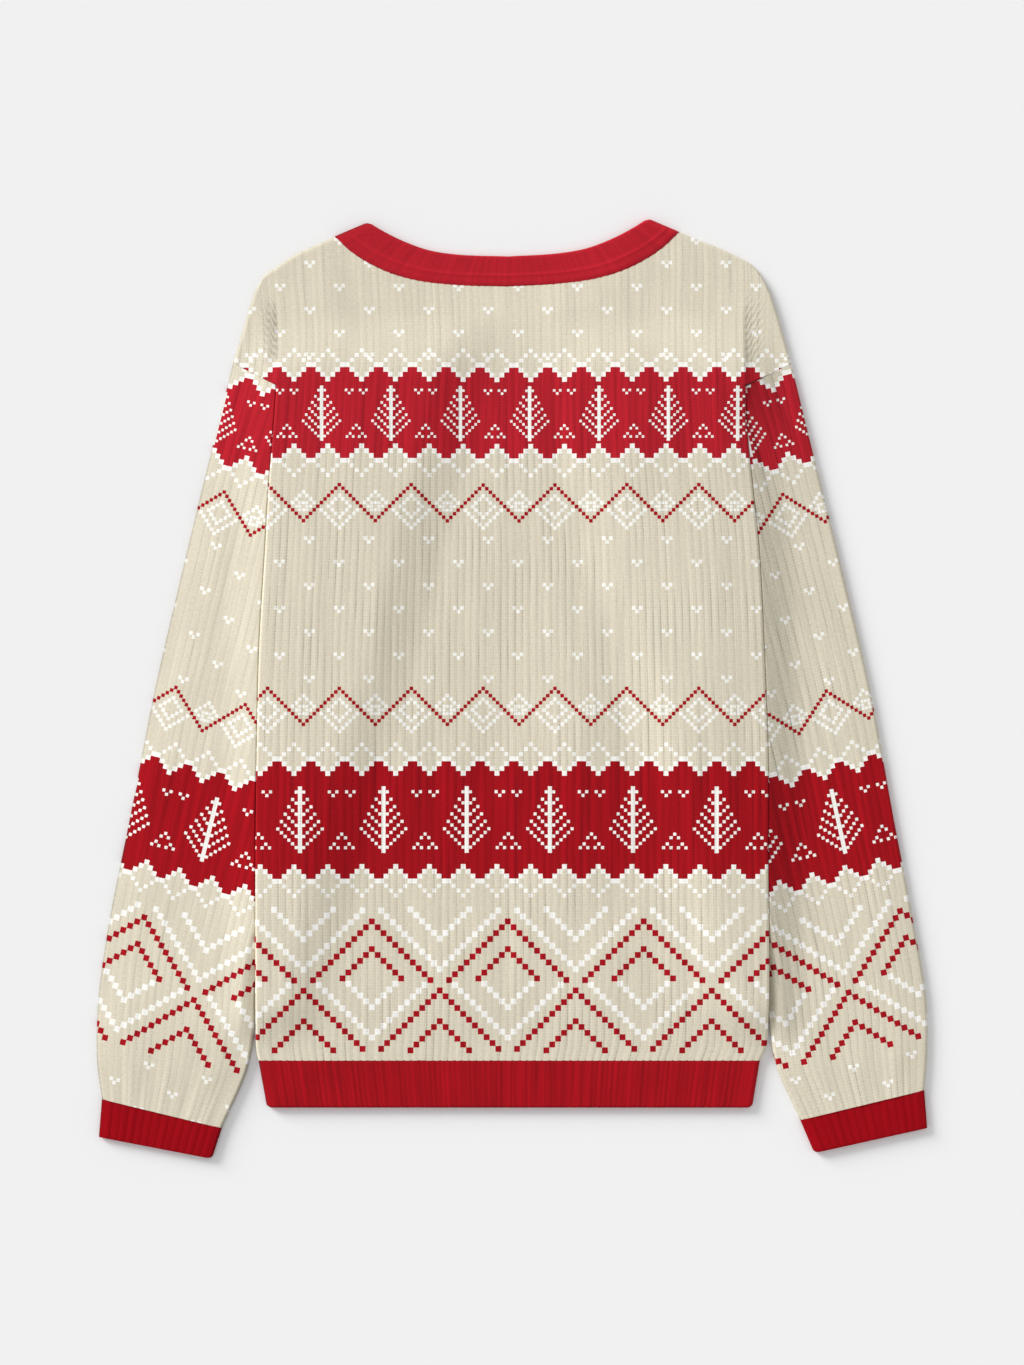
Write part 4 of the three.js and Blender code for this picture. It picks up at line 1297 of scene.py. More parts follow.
def rib_relief_tree() -> bpy.types.NodeTree:
    """Returns the tree that raises a knit's ribs from its stitch coordinates."""
    build = TreeBuilder(
        "Rib relief",
        (
            ("Rise", "NodeSocketFloat"),
            ("Roundness", "NodeSocketFloat"),
            ("Unevenness", "NodeSocketFloat"),
            ("Seed", "NodeSocketFloat"),
            ("Material", "NodeSocketMaterial"),
        ),
    )
    stitch = build.tree.nodes.new("GeometryNodeInputNamedAttribute")
    stitch.data_type = "FLOAT_VECTOR"
    stitch.inputs["Name"].default_value = "stitch"
    parts = build.node("ShaderNodeSeparateXYZ", Vector=stitch.outputs["Attribute"])
    wale, course, ribbed = (Value(build.tree, socket) for socket in parts.outputs)
    groove = abs((wale.math("FRACT") * 2.0) - 1.0).math("POWER", build.value("Roundness"))
    place = build.node("ShaderNodeCombineXYZ", X=wale.math("FLOOR"), Y=course * RELIEF_GRAIN_ALONG)
    noise = build.tree.nodes.new("ShaderNodeTexNoise")
    noise.noise_dimensions = "4D"
    build.tree.links.new(place.outputs[0], noise.inputs["Vector"])
    build.tree.links.new(build.value("Seed").socket, noise.inputs["W"])
    noise.inputs["Scale"].default_value = RELIEF_GRAIN
    uneven = Value(build.tree, noise.outputs[0]) * build.value("Unevenness")
    height = (1.0 - groove) * (1.0 - uneven) * build.value("Rise") * ribbed
    offset = build.node("ShaderNodeCombineXYZ", Z=height)
    raised = build.node(
        "GeometryNodeSetPosition", Geometry=build.source.outputs["Geometry"], Offset=offset.outputs[0]
    )
    return build.finish(raised.outputs[0])


LOOP_SIDES = 8
YARN_SIDES = 4
LOOP_SHAPE = (1.2, 0.6, 1.0)
LOOP_SIZES = (0.88, 1.08)


def stitch_row_tree() -> bpy.types.NodeTree:
    """Returns the tree that links a row of small loops along a seam."""
    build = TreeBuilder(
        "Linked stitches",
        (
            ("Spacing", "NodeSocketFloat"),
            ("Loop", "NodeSocketFloat"),
            ("Yarn", "NodeSocketFloat"),
            ("Seed", "NodeSocketInt"),
            ("Material", "NodeSocketMaterial"),
        ),
    )
    path = build.tree.nodes.new("GeometryNodeResampleCurve")
    path.mode = "LENGTH"
    build.tree.links.new(build.source.outputs["Geometry"], path.inputs["Curve"])
    build.tree.links.new(build.value("Spacing").socket, path.inputs["Length"])
    ring = build.node("GeometryNodeCurvePrimitiveCircle", Resolution=LOOP_SIDES, Radius=build.value("Loop"))
    yarn = build.node("GeometryNodeCurvePrimitiveCircle", Resolution=YARN_SIDES, Radius=build.value("Yarn"))
    flat = build.node("GeometryNodeTransform", Geometry=ring.outputs[0], Scale=LOOP_SHAPE)
    loop = build.node("GeometryNodeCurveToMesh", Curve=flat.outputs[0])
    build.tree.links.new(yarn.outputs[0], loop.inputs["Profile Curve"])
    along = build.tree.nodes.new("GeometryNodeInputTangent")
    turned = build.tree.nodes.new("FunctionNodeAlignRotationToVector")
    turned.axis = "X"
    build.tree.links.new(along.outputs[0], turned.inputs["Vector"])
    size = build.tree.nodes.new("FunctionNodeRandomValue")
    size.data_type = "FLOAT"
    build.tree.links.new(build.value("Seed").socket, size.inputs["Seed"])
    size.inputs[RANDOM_LOW].default_value, size.inputs[RANDOM_HIGH].default_value = LOOP_SIZES
    placed = build.node(
        "GeometryNodeInstanceOnPoints",
        Points=path.outputs[0],
        Instance=loop.outputs[0],
        Rotation=turned.outputs[0],
        Scale=size.outputs[1],
    )
    return build.finish(placed.outputs[0])


def bake(piece: bpy.types.Object, tree: bpy.types.NodeTree, **inputs: object) -> bpy.types.Object:
    """Runs a geometry tree on a piece and keeps its result as a plain mesh.

    Args:
        piece: A mesh or a curve that the tree takes as its geometry.
        tree: The geometry node tree.
        inputs: A value for each of the tree's named inputs.

    Returns:
        The piece as a mesh object with no modifier.
    """
    modifier = piece.modifiers.new(tree.name, "NODES")
    modifier.node_group = tree
    for item in tree.interface.items_tree:
        if item.in_out == "INPUT" and item.name in inputs:
            modifier[item.identifier] = inputs[item.name]
    graph = bpy.context.evaluated_depsgraph_get()
    mesh = bpy.data.meshes.new_from_object(piece.evaluated_get(graph))
    mesh.name = piece.name
    made = bpy.data.objects.new(piece.name, mesh)
    name = piece.name
    bpy.data.objects.remove(piece)
    made.name = name
    bpy.context.scene.collection.objects.link(made)
    return made


@dataclass(frozen=True)
class Ribs:
    """Relief of a rib knit: how high its ribs stand and how full and even they are."""

    rise: float = 0.4
    roundness: float = 4.0
    unevenness: float = 1.0
    seed: float = 3.0

    def raise_on(self, piece: bpy.types.Object, tree: bpy.types.NodeTree, finish: KnitFinish
                 ) -> bpy.types.Object:
        """Raises the ribs on a piece, dresses it and returns it."""
        return bake(
            piece,
            tree,
            Rise=self.rise * MM,
            Roundness=self.roundness,
            Unevenness=self.unevenness,
            Seed=self.seed,
            Material=finish.material,
        )


@dataclass(frozen=True)
class Row:
    """A row of points of a panel: at a height, or part of the way up above the armhole corner."""

    y: Optional[float] = None
    at: float = 0.0
    inset: float = 0.0
    neck_inset: Optional[float] = None


@dataclass(frozen=True)
class Columns:
    """Columns of a panel: part of the way across, with a shift and the ribs counted so far."""

    across: Array
    shift: Array
    wale: Array


@dataclass(frozen=True)
class Places:
    """Points of a panel's plan with their distances to its edges."""

    x: Array
    y: Array
    inset: Array
    outside_crease: Optional[Array] = None
    to_outline: Optional[Array] = None


@dataclass
class BodyPanel:
    """The back or the front of the body, with its two dropped shoulders."""

    kind: Panel
    placement: Placement
    columns_per_rib: int = 5
    row_pitch: float = 3.2
    armhole_rows: int = 58
    armhole_top: float = 0.95
    shoulder_columns: int = 40
    inner_shoulder_columns: int = 5
    plain_columns: int = 24
    side_columns: tuple[float, ...] = (0.03, 0.06, 0.09)
    first_shoulder_column: float = 2.0
    bow_power: int = 8
    curl_steps: tuple[float, ...] = (0.0, 0.12, 0.35, 0.65, 1.0)
    inner_rows: tuple[float, ...] = (
        -286, -277, -268, -259, -250, -200, -150, -100, -50, 0, 50, 100, 150, 200,
    )
    inner_armhole_rows: tuple[float, ...] = (0.0, 0.08, 0.16, 0.26, 0.36, 0.5, 0.62, 0.74, 0.86)

    def top(self, x: Array) -> tuple[Array, Array]:
        """Returns the panel's top edge at places across, and where it is on a shoulder."""
        across = np.abs(x - NECK_MIDDLE_X)
        corner = NECK_CORNER_HALF + (SEAM_GAP if self.kind is Panel.FRONT else 0.0)
        on_shoulder = across >= corner - ROUNDING
        left = x < NECK_MIDDLE_X
        shoulder = np.where(left, SHOULDER_Y[Side.LEFT](across), SHOULDER_Y[Side.RIGHT](across))
        neck = back_neck_y(x) - NECK_SEAM_GAP if self.kind is Panel.BACK else front_neck_y(x)
        return np.where(on_shoulder, shoulder - SEAM_GAP, neck), on_shoulder

    def height(self, face: Face, places: Places) -> Array:
        """Returns the height of a face at places of the plan."""
        x, y, inset = places.x, places.y, places.inset
        outside = places.outside_crease if places.outside_crease is not None else 0.0
        base = lift(x, y, outside)
        seam = base + FLAT_STACK / 2
        wall_side = smooth((inset - WALL) / RIM_TAPER)
        if self.kind is Panel.FRONT:
            rim = seam - SEAM_GAP / 2
            return mix(rim, base, curl(inset)) if face is Face.OUTER else mix(rim, base + WALL, wall_side)
        rim = seam + SEAM_GAP / 2
        if places.outside_crease is None:
            raised = back_fullness(x, y)
        else:
            ridge = on_side(CREASE_RISE, x) * bell(places.outside_crease / OUTER_CREASE_REACH)
            ridge = ridge * OUTER_CREASE_SHARE
            raised = ridge + shoulder_creases(x, y, places.outside_crease)[0]
        under = base + WALL + LAYER_AIR + raised - neck_sag(x, y)
        return mix(rim, under + WALL, curl(inset)) if face is Face.OUTER else mix(rim, under, wall_side)

    def body_places(self, columns: Columns, row: Row) -> Places:
        """Returns the points of one row between the side edges or the armhole creases."""
        across, shift = columns.across, columns.shift
        if row.y is not None:
            x = mix(SIDE_X[Side.LEFT](row.y), SIDE_X[Side.RIGHT](row.y), across) + shift
            near_side = (across == 0) | (across == 1)
            return Places(x, np.full_like(x, row.y), np.where(near_side, np.abs(shift), np.inf))
        x = mix(CREASE_X[Side.LEFT](row.at), CREASE_X[Side.RIGHT](row.at), across) + shift
        top_x = mix(CREASE_X[Side.LEFT](1.0), CREASE_X[Side.RIGHT](1.0), across) + shift
        top, on_shoulder = self.top(top_x)
        neck_inset = row.inset if row.neck_inset is None else row.neck_inset
        y = mix(ARMHOLE_Y, top - np.where(on_shoulder, row.inset, neck_inset), row.at)
        curled = on_shoulder & (row.at == 1.0)
        return Places(x, y, np.where(curled, row.inset, np.inf))

    def shoulder_places(self, side: Side, insets: Sequence[float], row: Row) -> Places:
        """Returns the points of one row of a dropped shoulder.

        Args:
            side: Which shoulder.
            insets: Distances of the outermost points to the outline.
            row: The row.

        Returns:
            The points from the armhole crease out to the outline.
        """
        top, _ = self.top(np.array([CREASE_X[side](1.0)]))
        crease_x = CREASE_X[side](row.at)
        crease_y = mix(ARMHOLE_Y, top[0] - row.inset, row.at)
        outline_x = OUTLINE_X[side](row.at)
        outline_y = OUTLINE_Y[side](row.at) - row.inset * row.at
        length = math.hypot(outline_x - crease_x, outline_y - crease_y)
        outer = len(insets) == len(self.curl_steps)
        count = self.shoulder_columns if outer else self.inner_shoulder_columns
        edge = 1 - np.array(insets[::-1]) / length
        middle = np.linspace(self.first_shoulder_column / length, edge[0], count)
        part = np.append(middle, edge[1:])
        bow = SHOULDER_BOW * 4 * part * (1 - part) * row.at**self.bow_power / length
        x = mix(crease_x, outline_x, part) + side.value * bow * abs(outline_y - crease_y)
        y = mix(crease_y, outline_y, part) + bow * abs(outline_x - crease_x)
        to_outline = (1 - part) * length
        inset = np.minimum(to_outline, row.inset if row.at == 1.0 else np.inf)
        outside = np.maximum(side.value * (x - crease_x), ROUNDING)
        return Places(x, y, inset, outside, to_outline)

    def rib_columns(self, insets: Sequence[float]) -> Columns:
        """Returns columns that follow the ribs, with close ones along the curved side edges."""
        width = CREASE_LINE[-1].right - CREASE_LINE[-1].left
        margin = RIB_MARGIN / width
        count = self.columns_per_rib * BODY_RIBS
        across = np.linspace(margin, 1 - margin, count + 1)
        for sign in (-1, 1):
            corner = (NECK_MIDDLE_X + sign * NECK_CORNER_HALF - CREASE_LINE[-1].left) / width
            across[np.argmin(np.abs(across - corner))] = corner
        wale = np.arange(count + 1) / self.columns_per_rib
        edge = np.array(insets)
        return Columns(
            np.concatenate([np.zeros(len(edge)), across, np.ones(len(edge))]),
            np.concatenate([edge, np.zeros(count + 1), -edge[::-1]]),
            np.concatenate([edge / RIB_MARGIN - 1, wale, BODY_RIBS + 1 - edge[::-1] / RIB_MARGIN]),
        )

    def smooth_columns(self, insets: Sequence[float]) -> Columns:
        """Returns columns of a plain face, closest together at the neck corners."""
        width = CREASE_LINE[-1].right - CREASE_LINE[-1].left
        turn = np.linspace(0.0, math.pi, self.plain_columns + 1)
        neck = NECK_MIDDLE_X - (NECK_CORNER_HALF + SEAM_GAP) * np.cos(turn)
        sides = np.array(self.side_columns)
        middle = np.concatenate([sides, (neck - CREASE_LINE[-1].left) / width, 1 - sides[::-1]])
        edge = np.array(insets)
        across = np.concatenate([np.zeros(len(edge)), middle, np.ones(len(edge))])
        shift = np.concatenate([edge, np.zeros(len(middle)), -edge[::-1]])
        return Columns(across, shift, across * BODY_RIBS)

    def add_face(self, shell: Shell, face: Face) -> list[Array]:
        """Adds one face of the panel and returns the lines of its outline in order."""
        outer = face is Face.OUTER
        ribbed = outer and self.kind is Panel.BACK
        if outer:
            insets = [step * RIM_HEIGHT for step in self.curl_steps]
            rows = [Row(y=y) for y in np.arange(HEM_SEAM_Y, ARMHOLE_Y - self.row_pitch / 2, self.row_pitch)]
            steps = np.linspace(0.0, self.armhole_top, self.armhole_rows)
            ends = [Row(at=1.0, inset=inset) for inset in insets[::-1]]
        else:
            insets = [WALL, WALL + RIM_TAPER]
            rows = [Row(y=y) for y in (HEM_SEAM_Y, *self.inner_rows)]
            steps = self.inner_armhole_rows
            ends = [Row(at=1.0, inset=WALL + RIM_TAPER), Row(at=1.0, inset=WALL, neck_inset=0.0)]
        upper = [Row(at=float(at)) for at in steps] + ends
        columns = self.rib_columns(insets) if ribbed else self.smooth_columns(insets)
        body = [self._line(shell, face, self.body_places(columns, row), columns.wale) for row in rows + upper]
        corner = len(rows)
        shell.grid(body, not outer)
        shoulders = {}
        for side in Side:
            lines = []
            for row in upper:
                places = self.shoulder_places(side, insets, row)
                ribs_outside = side.value * places.outside_crease / RIB_MARGIN
                wale = (0 if side is Side.LEFT else BODY_RIBS) + ribs_outside
                lines.append(self._line(shell, face, places, wale))
            right = side is Side.RIGHT
            shell.grid(lines, right != outer)
            edge = np.array([line[-1 if right else 0] for line in body[corner:]])
            shell.strip(edge, np.array([line[0] for line in lines]), flipped=right == outer)
            shoulders[side] = lines
        return self._outline(body, corner, shoulders)

    def _line(self, shell: Shell, face: Face, places: Places, wale: Array) -> Array:
        """Adds one row of a face and returns its points."""
        ribbed = 1.0 if face is Face.OUTER and self.kind is Panel.BACK else 0.0
        flat = curl(np.minimum(places.inset, RIM_HEIGHT))
        # Shade is painted on the rounded edges above the armholes, more on the left where they face the
        # light, and light is painted on the side edges below the armholes, where they lie over the sleeves.
        painted_shade = np.where(places.y > ARMHOLE_Y, on_side(EDGE_PAINTED_SHADE, places.x), -SLIT_PAINTED_LIGHT) * (1 - flat)
        # Shade is painted beside each armhole crease, less on top of the slanting creases.
        if places.outside_crease is not None:
            painted_shade = painted_shade + shoulder_creases(places.x, places.y, places.outside_crease)[1]
        course = places.y / COURSE_PITCH
        z = self.height(face, places)
        drawn = mix(1.0, SHOULDER_RIBBED, smooth((places.y - SHOULDER_RIBS.y) / SHOULDER_RIBS.fade))
        return shell.line(places.x, places.y, z, wale, course, ribbed * flat * drawn, painted_shade)

    def _outline(self, body: list[Array], corner: int, shoulders: dict[Side, list[Array]]) -> list[Array]:
        """Returns the outline of a face as lines that run round it, starting along the hem."""
        left, right = shoulders[Side.LEFT], shoulders[Side.RIGHT]
        below, top = body[: corner + 1], body[-1]
        return [
            body[0],
            np.array([line[-1] for line in below]),
            np.append(below[-1][-1], right[0]),
            np.array([line[-1] for line in right]),
            np.append(right[-1][::-1], top[-1]),
            top[::-1],
            np.append(top[0], left[-1]),
            np.array([line[-1] for line in left])[::-1],
            np.append(left[0][::-1], below[-1][0]),
            np.array([line[0] for line in below])[::-1],
        ]

    def build(self) -> bpy.types.Object:
        """Builds the panel's closed shell."""
        shell = Shell()
        outer = self.add_face(shell, Face.OUTER)
        inner = self.add_face(shell, Face.INNER)
        for first, second in zip(outer, inner):
            shell.strip(first, second, flipped=True)
        return shell.piece(f"{self.kind.value}_knit", self.placement, self.kind is Panel.FRONT)


class Step(NamedTuple):
    """A steep step of a tube's upper wall: the share of columns before it, and its places across."""

    share: float
    start: float
    end: float


@dataclass(frozen=True)
class Section:
    """One cut across a tube that lies flat.

    Attributes:
        top: Plan of the upper wall from left to right.
        ceiling: Height of the upper wall's outer face.
        course: Rows of stitches counted along up to here.
        bottom: Plan of the lower wall, or None where it is the upper wall's.
        wall: Thickness of the cloth.
        ribbed: How far the ribs are raised here, from 0 to 1.
        painted_shade: Shade painted into the upper wall's colour, less than 0 where light is painted, or
            None.
        step: Where two columns of the upper wall stand close together, or None.
    """

    top: Plan
    ceiling: Height
    course: float
    bottom: Optional[Plan] = None
    wall: float = WALL
    ribbed: float = 1.0
    painted_shade: Optional[Height] = None
    step: Optional[Step] = None


def run_length(plan: Plan, steps: int = 49) -> float:
    """Returns the length of a line of the plan, measured in even steps."""
    return float(np.hypot(*np.diff(plan(np.linspace(0.0, 1.0, steps)))).sum())


class Ring(NamedTuple):
    """Points round a tube with their places round it, from 0 to 4."""

    points: Array
    places: Array


@dataclass
class FlatTube:
    """A ribbed tube of cloth that lies flat, open at both ends."""

    name: str
    placement: Placement
    ribs: int
    columns_per_rib: int = 5
    under_columns: int = 36
    inside_columns: int = 30
    fold_steps: int = 7
    inner_fold_steps: int = 3
    fold_reach: float = 0.004
    fade_ribs: float = 1.6
    pattern: PatternMap = BODY_MAP

    def _fold(self, section: Section, end: float, near: float, face: Face
              ) -> tuple[Array, Array, float, float]:
        """Returns the centre, inward direction, radius and height of the fold at one edge."""
        tip, beside = (np.array(section.top(at)) for at in (end, near))
        inward = (beside - tip) / np.hypot(*(beside - tip))
        high = float(section.ceiling(tip[0], tip[1], end))
        radius = high / 2
        centre = tip + inward * radius
        return centre, inward, radius - (section.wall if face is Face.INNER else 0.0), high / 2

    def _columns(self, section: Section, count: int, low: float, high: float) -> Array:
        """Returns the places across of the upper wall's columns between its two folds."""
        even = np.arange(1, count) / count
        if section.step is None:
            return mix(low, high, even)
        share = round(section.step.share * count) / count
        stops = (low, section.step.start, section.step.end, high)
        return np.interp(even, (0.0, share, share + 1 / count, 1.0), stops)

    def add_ring(self, shell: Shell, section: Section, face: Face) -> Ring:
        """Adds the points round one face of a section: upper wall, right fold, lower wall, left fold."""
        inner = face is Face.INNER
        count = self.inside_columns if inner else self.ribs * self.columns_per_rib
        steps = self.inner_fold_steps if inner else self.fold_steps
        turn = np.linspace(math.pi / 2, -math.pi / 2, steps)
        folds, depths = [], []
        for end, near, angles in ((1.0, 1 - self.fold_reach, turn), (0.0, self.fold_reach, turn[::-1])):
            centre, inward, radius, middle = self._fold(section, end, near, face)
            plan = centre[:, None] - inward[:, None] * radius * np.cos(angles)
            folds.append((plan[0], plan[1], middle + radius * np.sin(angles)))
            depths.append(middle)
        bottom = section.bottom or section.top
        right, left = np.array(depths) / run_length(section.top)
        upper = self._columns(section, count, left, 1 - right)
        right, left = np.array(depths) / run_length(bottom)
        lower = mix(1 - right, left, np.arange(1, self.under_columns) / self.under_columns)
        top_x, top_y = section.top(upper)
        ceiling = section.ceiling(top_x, top_y, upper) - (section.wall if inner else 0.0)
        low_x, low_y = bottom(lower)
        floor = np.full(len(lower), section.wall if inner else 0.0)
        (right_x, right_y, right_z), (left_x, left_y, left_z) = folds
        x = np.concatenate([left_x[-1:], top_x, right_x, low_x, left_x[:-1]])
        y = np.concatenate([left_y[-1:], top_y, right_y, low_y, left_y[:-1]])
        z = np.concatenate([left_z[-1:], np.broadcast_to(ceiling, upper.shape), right_z, floor, left_z[:-1]])
        places = np.concatenate([
            [0.0], upper, 1.5 - turn / math.pi, 3 - lower, 3.5 + turn[::-1][:-1] / math.pi,
        ])
        wale = np.where(places <= 1, places, np.where(places < 2, 1.0, np.where(places < 3, 3 - places, 0.0)))
        wale = wale * self.ribs + HALF_RIB
        from_fold = np.clip(np.minimum(places, 1 - places), 0.0, 0.5) * self.ribs
        ribbed = 0.0 if inner else smooth(from_fold / self.fade_ribs) * section.ribbed
        # Shade is painted on the tube's rounded folds, more on the left where they face the light; the
        # section adds its own painted shade and light on the upper wall.
        round_fold = np.where(places % 2 > 1, np.sin((places % 2 - 1) * math.pi), 0.0)
        painted_shade = on_side(EDGE_PAINTED_SHADE, x) * round_fold
        if section.painted_shade is not None:
            painted_shade[1:count] += section.painted_shade(top_x, top_y, upper)
        numbers = shell.line(x, y, z, wale, section.course, ribbed, painted_shade)
        return Ring(np.append(numbers, numbers[0]), np.append(places, 4.0))

    def build_from(self, sections: Sequence[Section], inner: Sequence[Section]) -> bpy.types.Object:
        """Builds the tube's closed shell.

        Args:
            sections: Sections of the outer face in order from the hem side to the neck side.
            inner: Sections of the inner face in the same order.

        Returns:
            The object.
        """
        shell = Shell(self.pattern)
        outer_rings = [self.add_ring(shell, section, Face.OUTER) for section in sections]
        inner_rings = [self.add_ring(shell, section, Face.INNER) for section in inner]
        shell.grid([ring.points for ring in outer_rings])
        shell.grid([ring.points for ring in inner_rings], flipped=True)
        for end, flipped in ((0, True), (-1, False)):
            first, second = outer_rings[end], inner_rings[end]
            shell.strip(first.points, second.points, flipped, (first.places, second.places))
        return shell.piece(self.name, self.placement)


@dataclass
class Sleeve:
    """A long sleeve: its outer part shows beside the body and its inner part lies under it."""

    side: Side
    placement: Placement
    row_pitch: float = 3.0
    inner_sections: int = 40
    columns_per_rib: int = 8
    visible_columns: float = 0.7
    least_part: float = 0.07
    edge_rounds: int = 4
    edges: dict[str, Curve] = field(init=False)

    def __post_init__(self) -> None:
        """Reads the sleeve's edges."""
        table = SLEEVE_LEFT if self.side is Side.LEFT else SLEEVE_RIGHT
        columns = ("outer_x", "outer_y", "inner_x", "inner_y")
        self.edges = {column: Curve(table, "down", column) for column in columns}

    def corner(self, edge: str, down: float) -> tuple[float, float]:
        """Returns a point of the outer or inner edge part of the way down."""
        return float(self.edges[f"{edge}_x"](down)), float(self.edges[f"{edge}_y"](down))

    def outside(self, x: Number, y: Number) -> Number:
        """Returns how far a place lies outside the body's side edge."""
        return np.abs(x) - np.abs(SIDE_X[self.side](np.clip(y, HEM_SEAM_Y, ARMHOLE_Y)))

    def fullness(self, x: Number, y: Number, across: Number, down: float, width: float) -> Number:
        """Returns how far the upper wall is raised: fullest where it shows, flat below the body."""
        from_outer = across if self.side is Side.LEFT else 1 - across
        to_edges = np.minimum(from_outer, 1 - from_outer) * width
        outside = self.outside(x, y)
        clear = np.where(y < HEM_SEAM_Y, SLEEVE_FULL_OVER, outside - SLEEVE_FULL_FROM)
        from_top = smooth(down / SLEEVE_FULL_TOP)
        middle = SLEEVE_FULLNESS * smooth(clear / SLEEVE_FULL_OVER) * smooth(to_edges / SLEEVE_FULL_FROM_EDGE)
        beside = outside - SLEEVE_RIDGE_START
        ridge = LIFT * SLEEVE_RIDGE_SHARE * smooth(beside / SLEEVE_RIDGE_OVER)
        ridge = ridge * (1 - smooth(beside / LIFT_RAMP_SHOULDER)) * smooth(to_edges / SLEEVE_RIDGE_FROM_EDGE)
        ridge = ridge * smooth((y - HEM_SEAM_Y) / SLEEVE_RIDGE_FADE)
        raised = (middle * from_top + ridge) * smooth((1 - down) / SLEEVE_FULL_CUFF)
        from_cuff = (1 - down) * SLEEVE_LENGTH
        for gather in CUFF_GATHERS:
            off = (from_outer - gather.across) * width / gather.width
            fade = smooth(1 - from_cuff / gather.length) * smooth(to_edges / GATHER_FROM_EDGE)
            raised = raised + gather.height * bell(off) * fade
        return raised

    def painted_shade(self, x: Number, y: Number) -> Number:
        """Returns the shade painted on the sleeve for the body's shadow beside it, and the light painted over
        the left sleeve and along the body's edge.
        """
        outside = self.outside(x, y)
        beside = 1 - smooth(outside / SLEEVE_PAINTED_SHADE_REACH[self.side])
        shade = SLEEVE_PAINTED_SHADE[self.side] * beside - SLIT_PAINTED_LIGHT * bell(outside / SLIT_PAINTED_LIGHT_REACH)
        return shade * smooth((y - HEM_SEAM_Y) / SLEEVE_RIDGE_FADE)

    def step(self, top: Plan, left_x: float, right_x: float) -> Step:
        """Returns where the upper wall comes out from under the body's edge.

        Args:
            top: Plan of the upper wall.
            left_x: Its left end.
            right_x: Its right end.

        Returns:
            The step, from low under the body to its full height outside.
        """
        across = 0.5
        for _ in range(self.edge_rounds):
            _, y = top(across)
            edge = float(SIDE_X[self.side](np.clip(y, HEM_SEAM_Y, ARMHOLE_Y)))
            edge += self.side.value * SLEEVE_RIDGE_START
            part = (edge - left_x) / (right_x - left_x)
            across = float(np.clip(part, self.least_part, 1 - self.least_part))
        out = self.side.value * SLEEVE_RIDGE_OVER / (right_x - left_x)
        if self.side is Side.LEFT:
            return Step(self.visible_columns, across + out, across)
        return Step(1 - self.visible_columns, across, across + out)

    def section(self, down: float) -> Section:
        """Returns the cut across the sleeve part of the way down."""
        drop = SEAM_GAP / math.cos(SEAM_SLOPE) if down == 0 else 0.0
        ends = [self.corner("outer", down), self.corner("inner", down)]
        if self.side is Side.RIGHT:
            ends.reverse()
        (left_x, left_y), (right_x, right_y) = ends
        width = math.hypot(right_x - left_x, right_y - left_y)

        def top(across: Number) -> tuple[Number, Number]:
            """Returns the plan of the upper wall."""
            from_outer = across if self.side is Side.LEFT else 1 - across
            bow = np.minimum(from_outer / SEAM_BOW_AT, (1 - from_outer) / (1 - SEAM_BOW_AT))
            dip = SEAM_BOW * bow * smooth(1 - down / SEAM_BOW_FADE)
            return mix(left_x, right_x, across), mix(left_y, right_y, across) - drop - dip

        def ceiling(x: Number, y: Number, across: Number) -> Number:
            """Returns the height of the upper wall."""
            return FLAT_STACK + self.fullness(x, y, across, down, width)

        return Section(
            top,
            ceiling,
            -down * SLEEVE_LENGTH / COURSE_PITCH,
            ribbed=SLEEVE_RIBBED[self.side],
            painted_shade=lambda x, y, across: self.painted_shade(x, y),
            step=self.step(top, left_x, right_x),
        )

    def build(self) -> bpy.types.Object:
        """Builds the sleeve's closed shell."""
        rows = round(SLEEVE_LENGTH / self.row_pitch)
        tube = FlatTube(
            f"sleeve_{self.side.name.lower()}_knit",
            self.placement,
            SLEEVE_RIBS,
            self.columns_per_rib,
            pattern=SLEEVE_MAPS[self.side],
        )
        fine = [self.section(float(down)) for down in np.linspace(1.0, 0.0, rows + 1)]
        coarse = [self.section(float(down)) for down in np.linspace(1.0, 0.0, self.inner_sections)]
        return tube.build_from(fine, coarse)


@dataclass
class Cuff:
    """A ribbed cuff that closes a sleeve."""

    sleeve: Sleeve
    rows: int = 24
    inner_rows: int = 8
    edge_inset: float = 3.0
    edge_drop: float = 0.6
    edge_from: float = 0.88

    def section(self, out: float) -> Section:
        """Returns the cut across the cuff part of the way out to its free edge."""
        edge = CUFF_LEFT if self.sleeve.side is Side.LEFT else CUFF_RIGHT
        outer_top, inner_top = (np.array(self.sleeve.corner(name, 1.0)) for name in ("outer", "inner"))
        length = float(np.hypot(*(outer_top - np.array(edge.outer))))
        reach = max(out, SEAM_GAP / length)
        turn = max(0.0, (out - self.edge_from) / (1 - self.edge_from))
        rounded = 1 - math.sqrt(1 - turn**2)
        outer = mix(outer_top, np.array(edge.outer), reach)
        inner = mix(inner_top, np.array(edge.inner), reach)
        inner = mix(inner, outer, self.edge_inset * rounded / float(np.hypot(*(outer - inner))))
        left, right = (outer, inner) if self.sleeve.side is Side.LEFT else (inner, outer)
        height = FLAT_STACK - self.edge_drop * rounded
        return Section(
            lambda across: (mix(left[0], right[0], across), mix(left[1], right[1], across)),
            lambda x, y, across: height + 0 * across,
            -reach * length / COURSE_PITCH,
        )

    def build(self) -> bpy.types.Object:
        """Builds the cuff's closed shell."""
        name = f"cuff_{self.sleeve.side.name.lower()}_knit"
        tube = FlatTube(name, self.sleeve.placement, CUFF_RIBS, columns_per_rib=8, under_columns=24)
        fine = [self.section(math.sin(turn)) for turn in np.linspace(math.pi / 2, 0.0, self.rows + 1)]
        coarse = [self.section(float(out)) for out in np.linspace(1.0, 0.0, self.inner_rows)]
        return tube.build_from(fine, coarse)


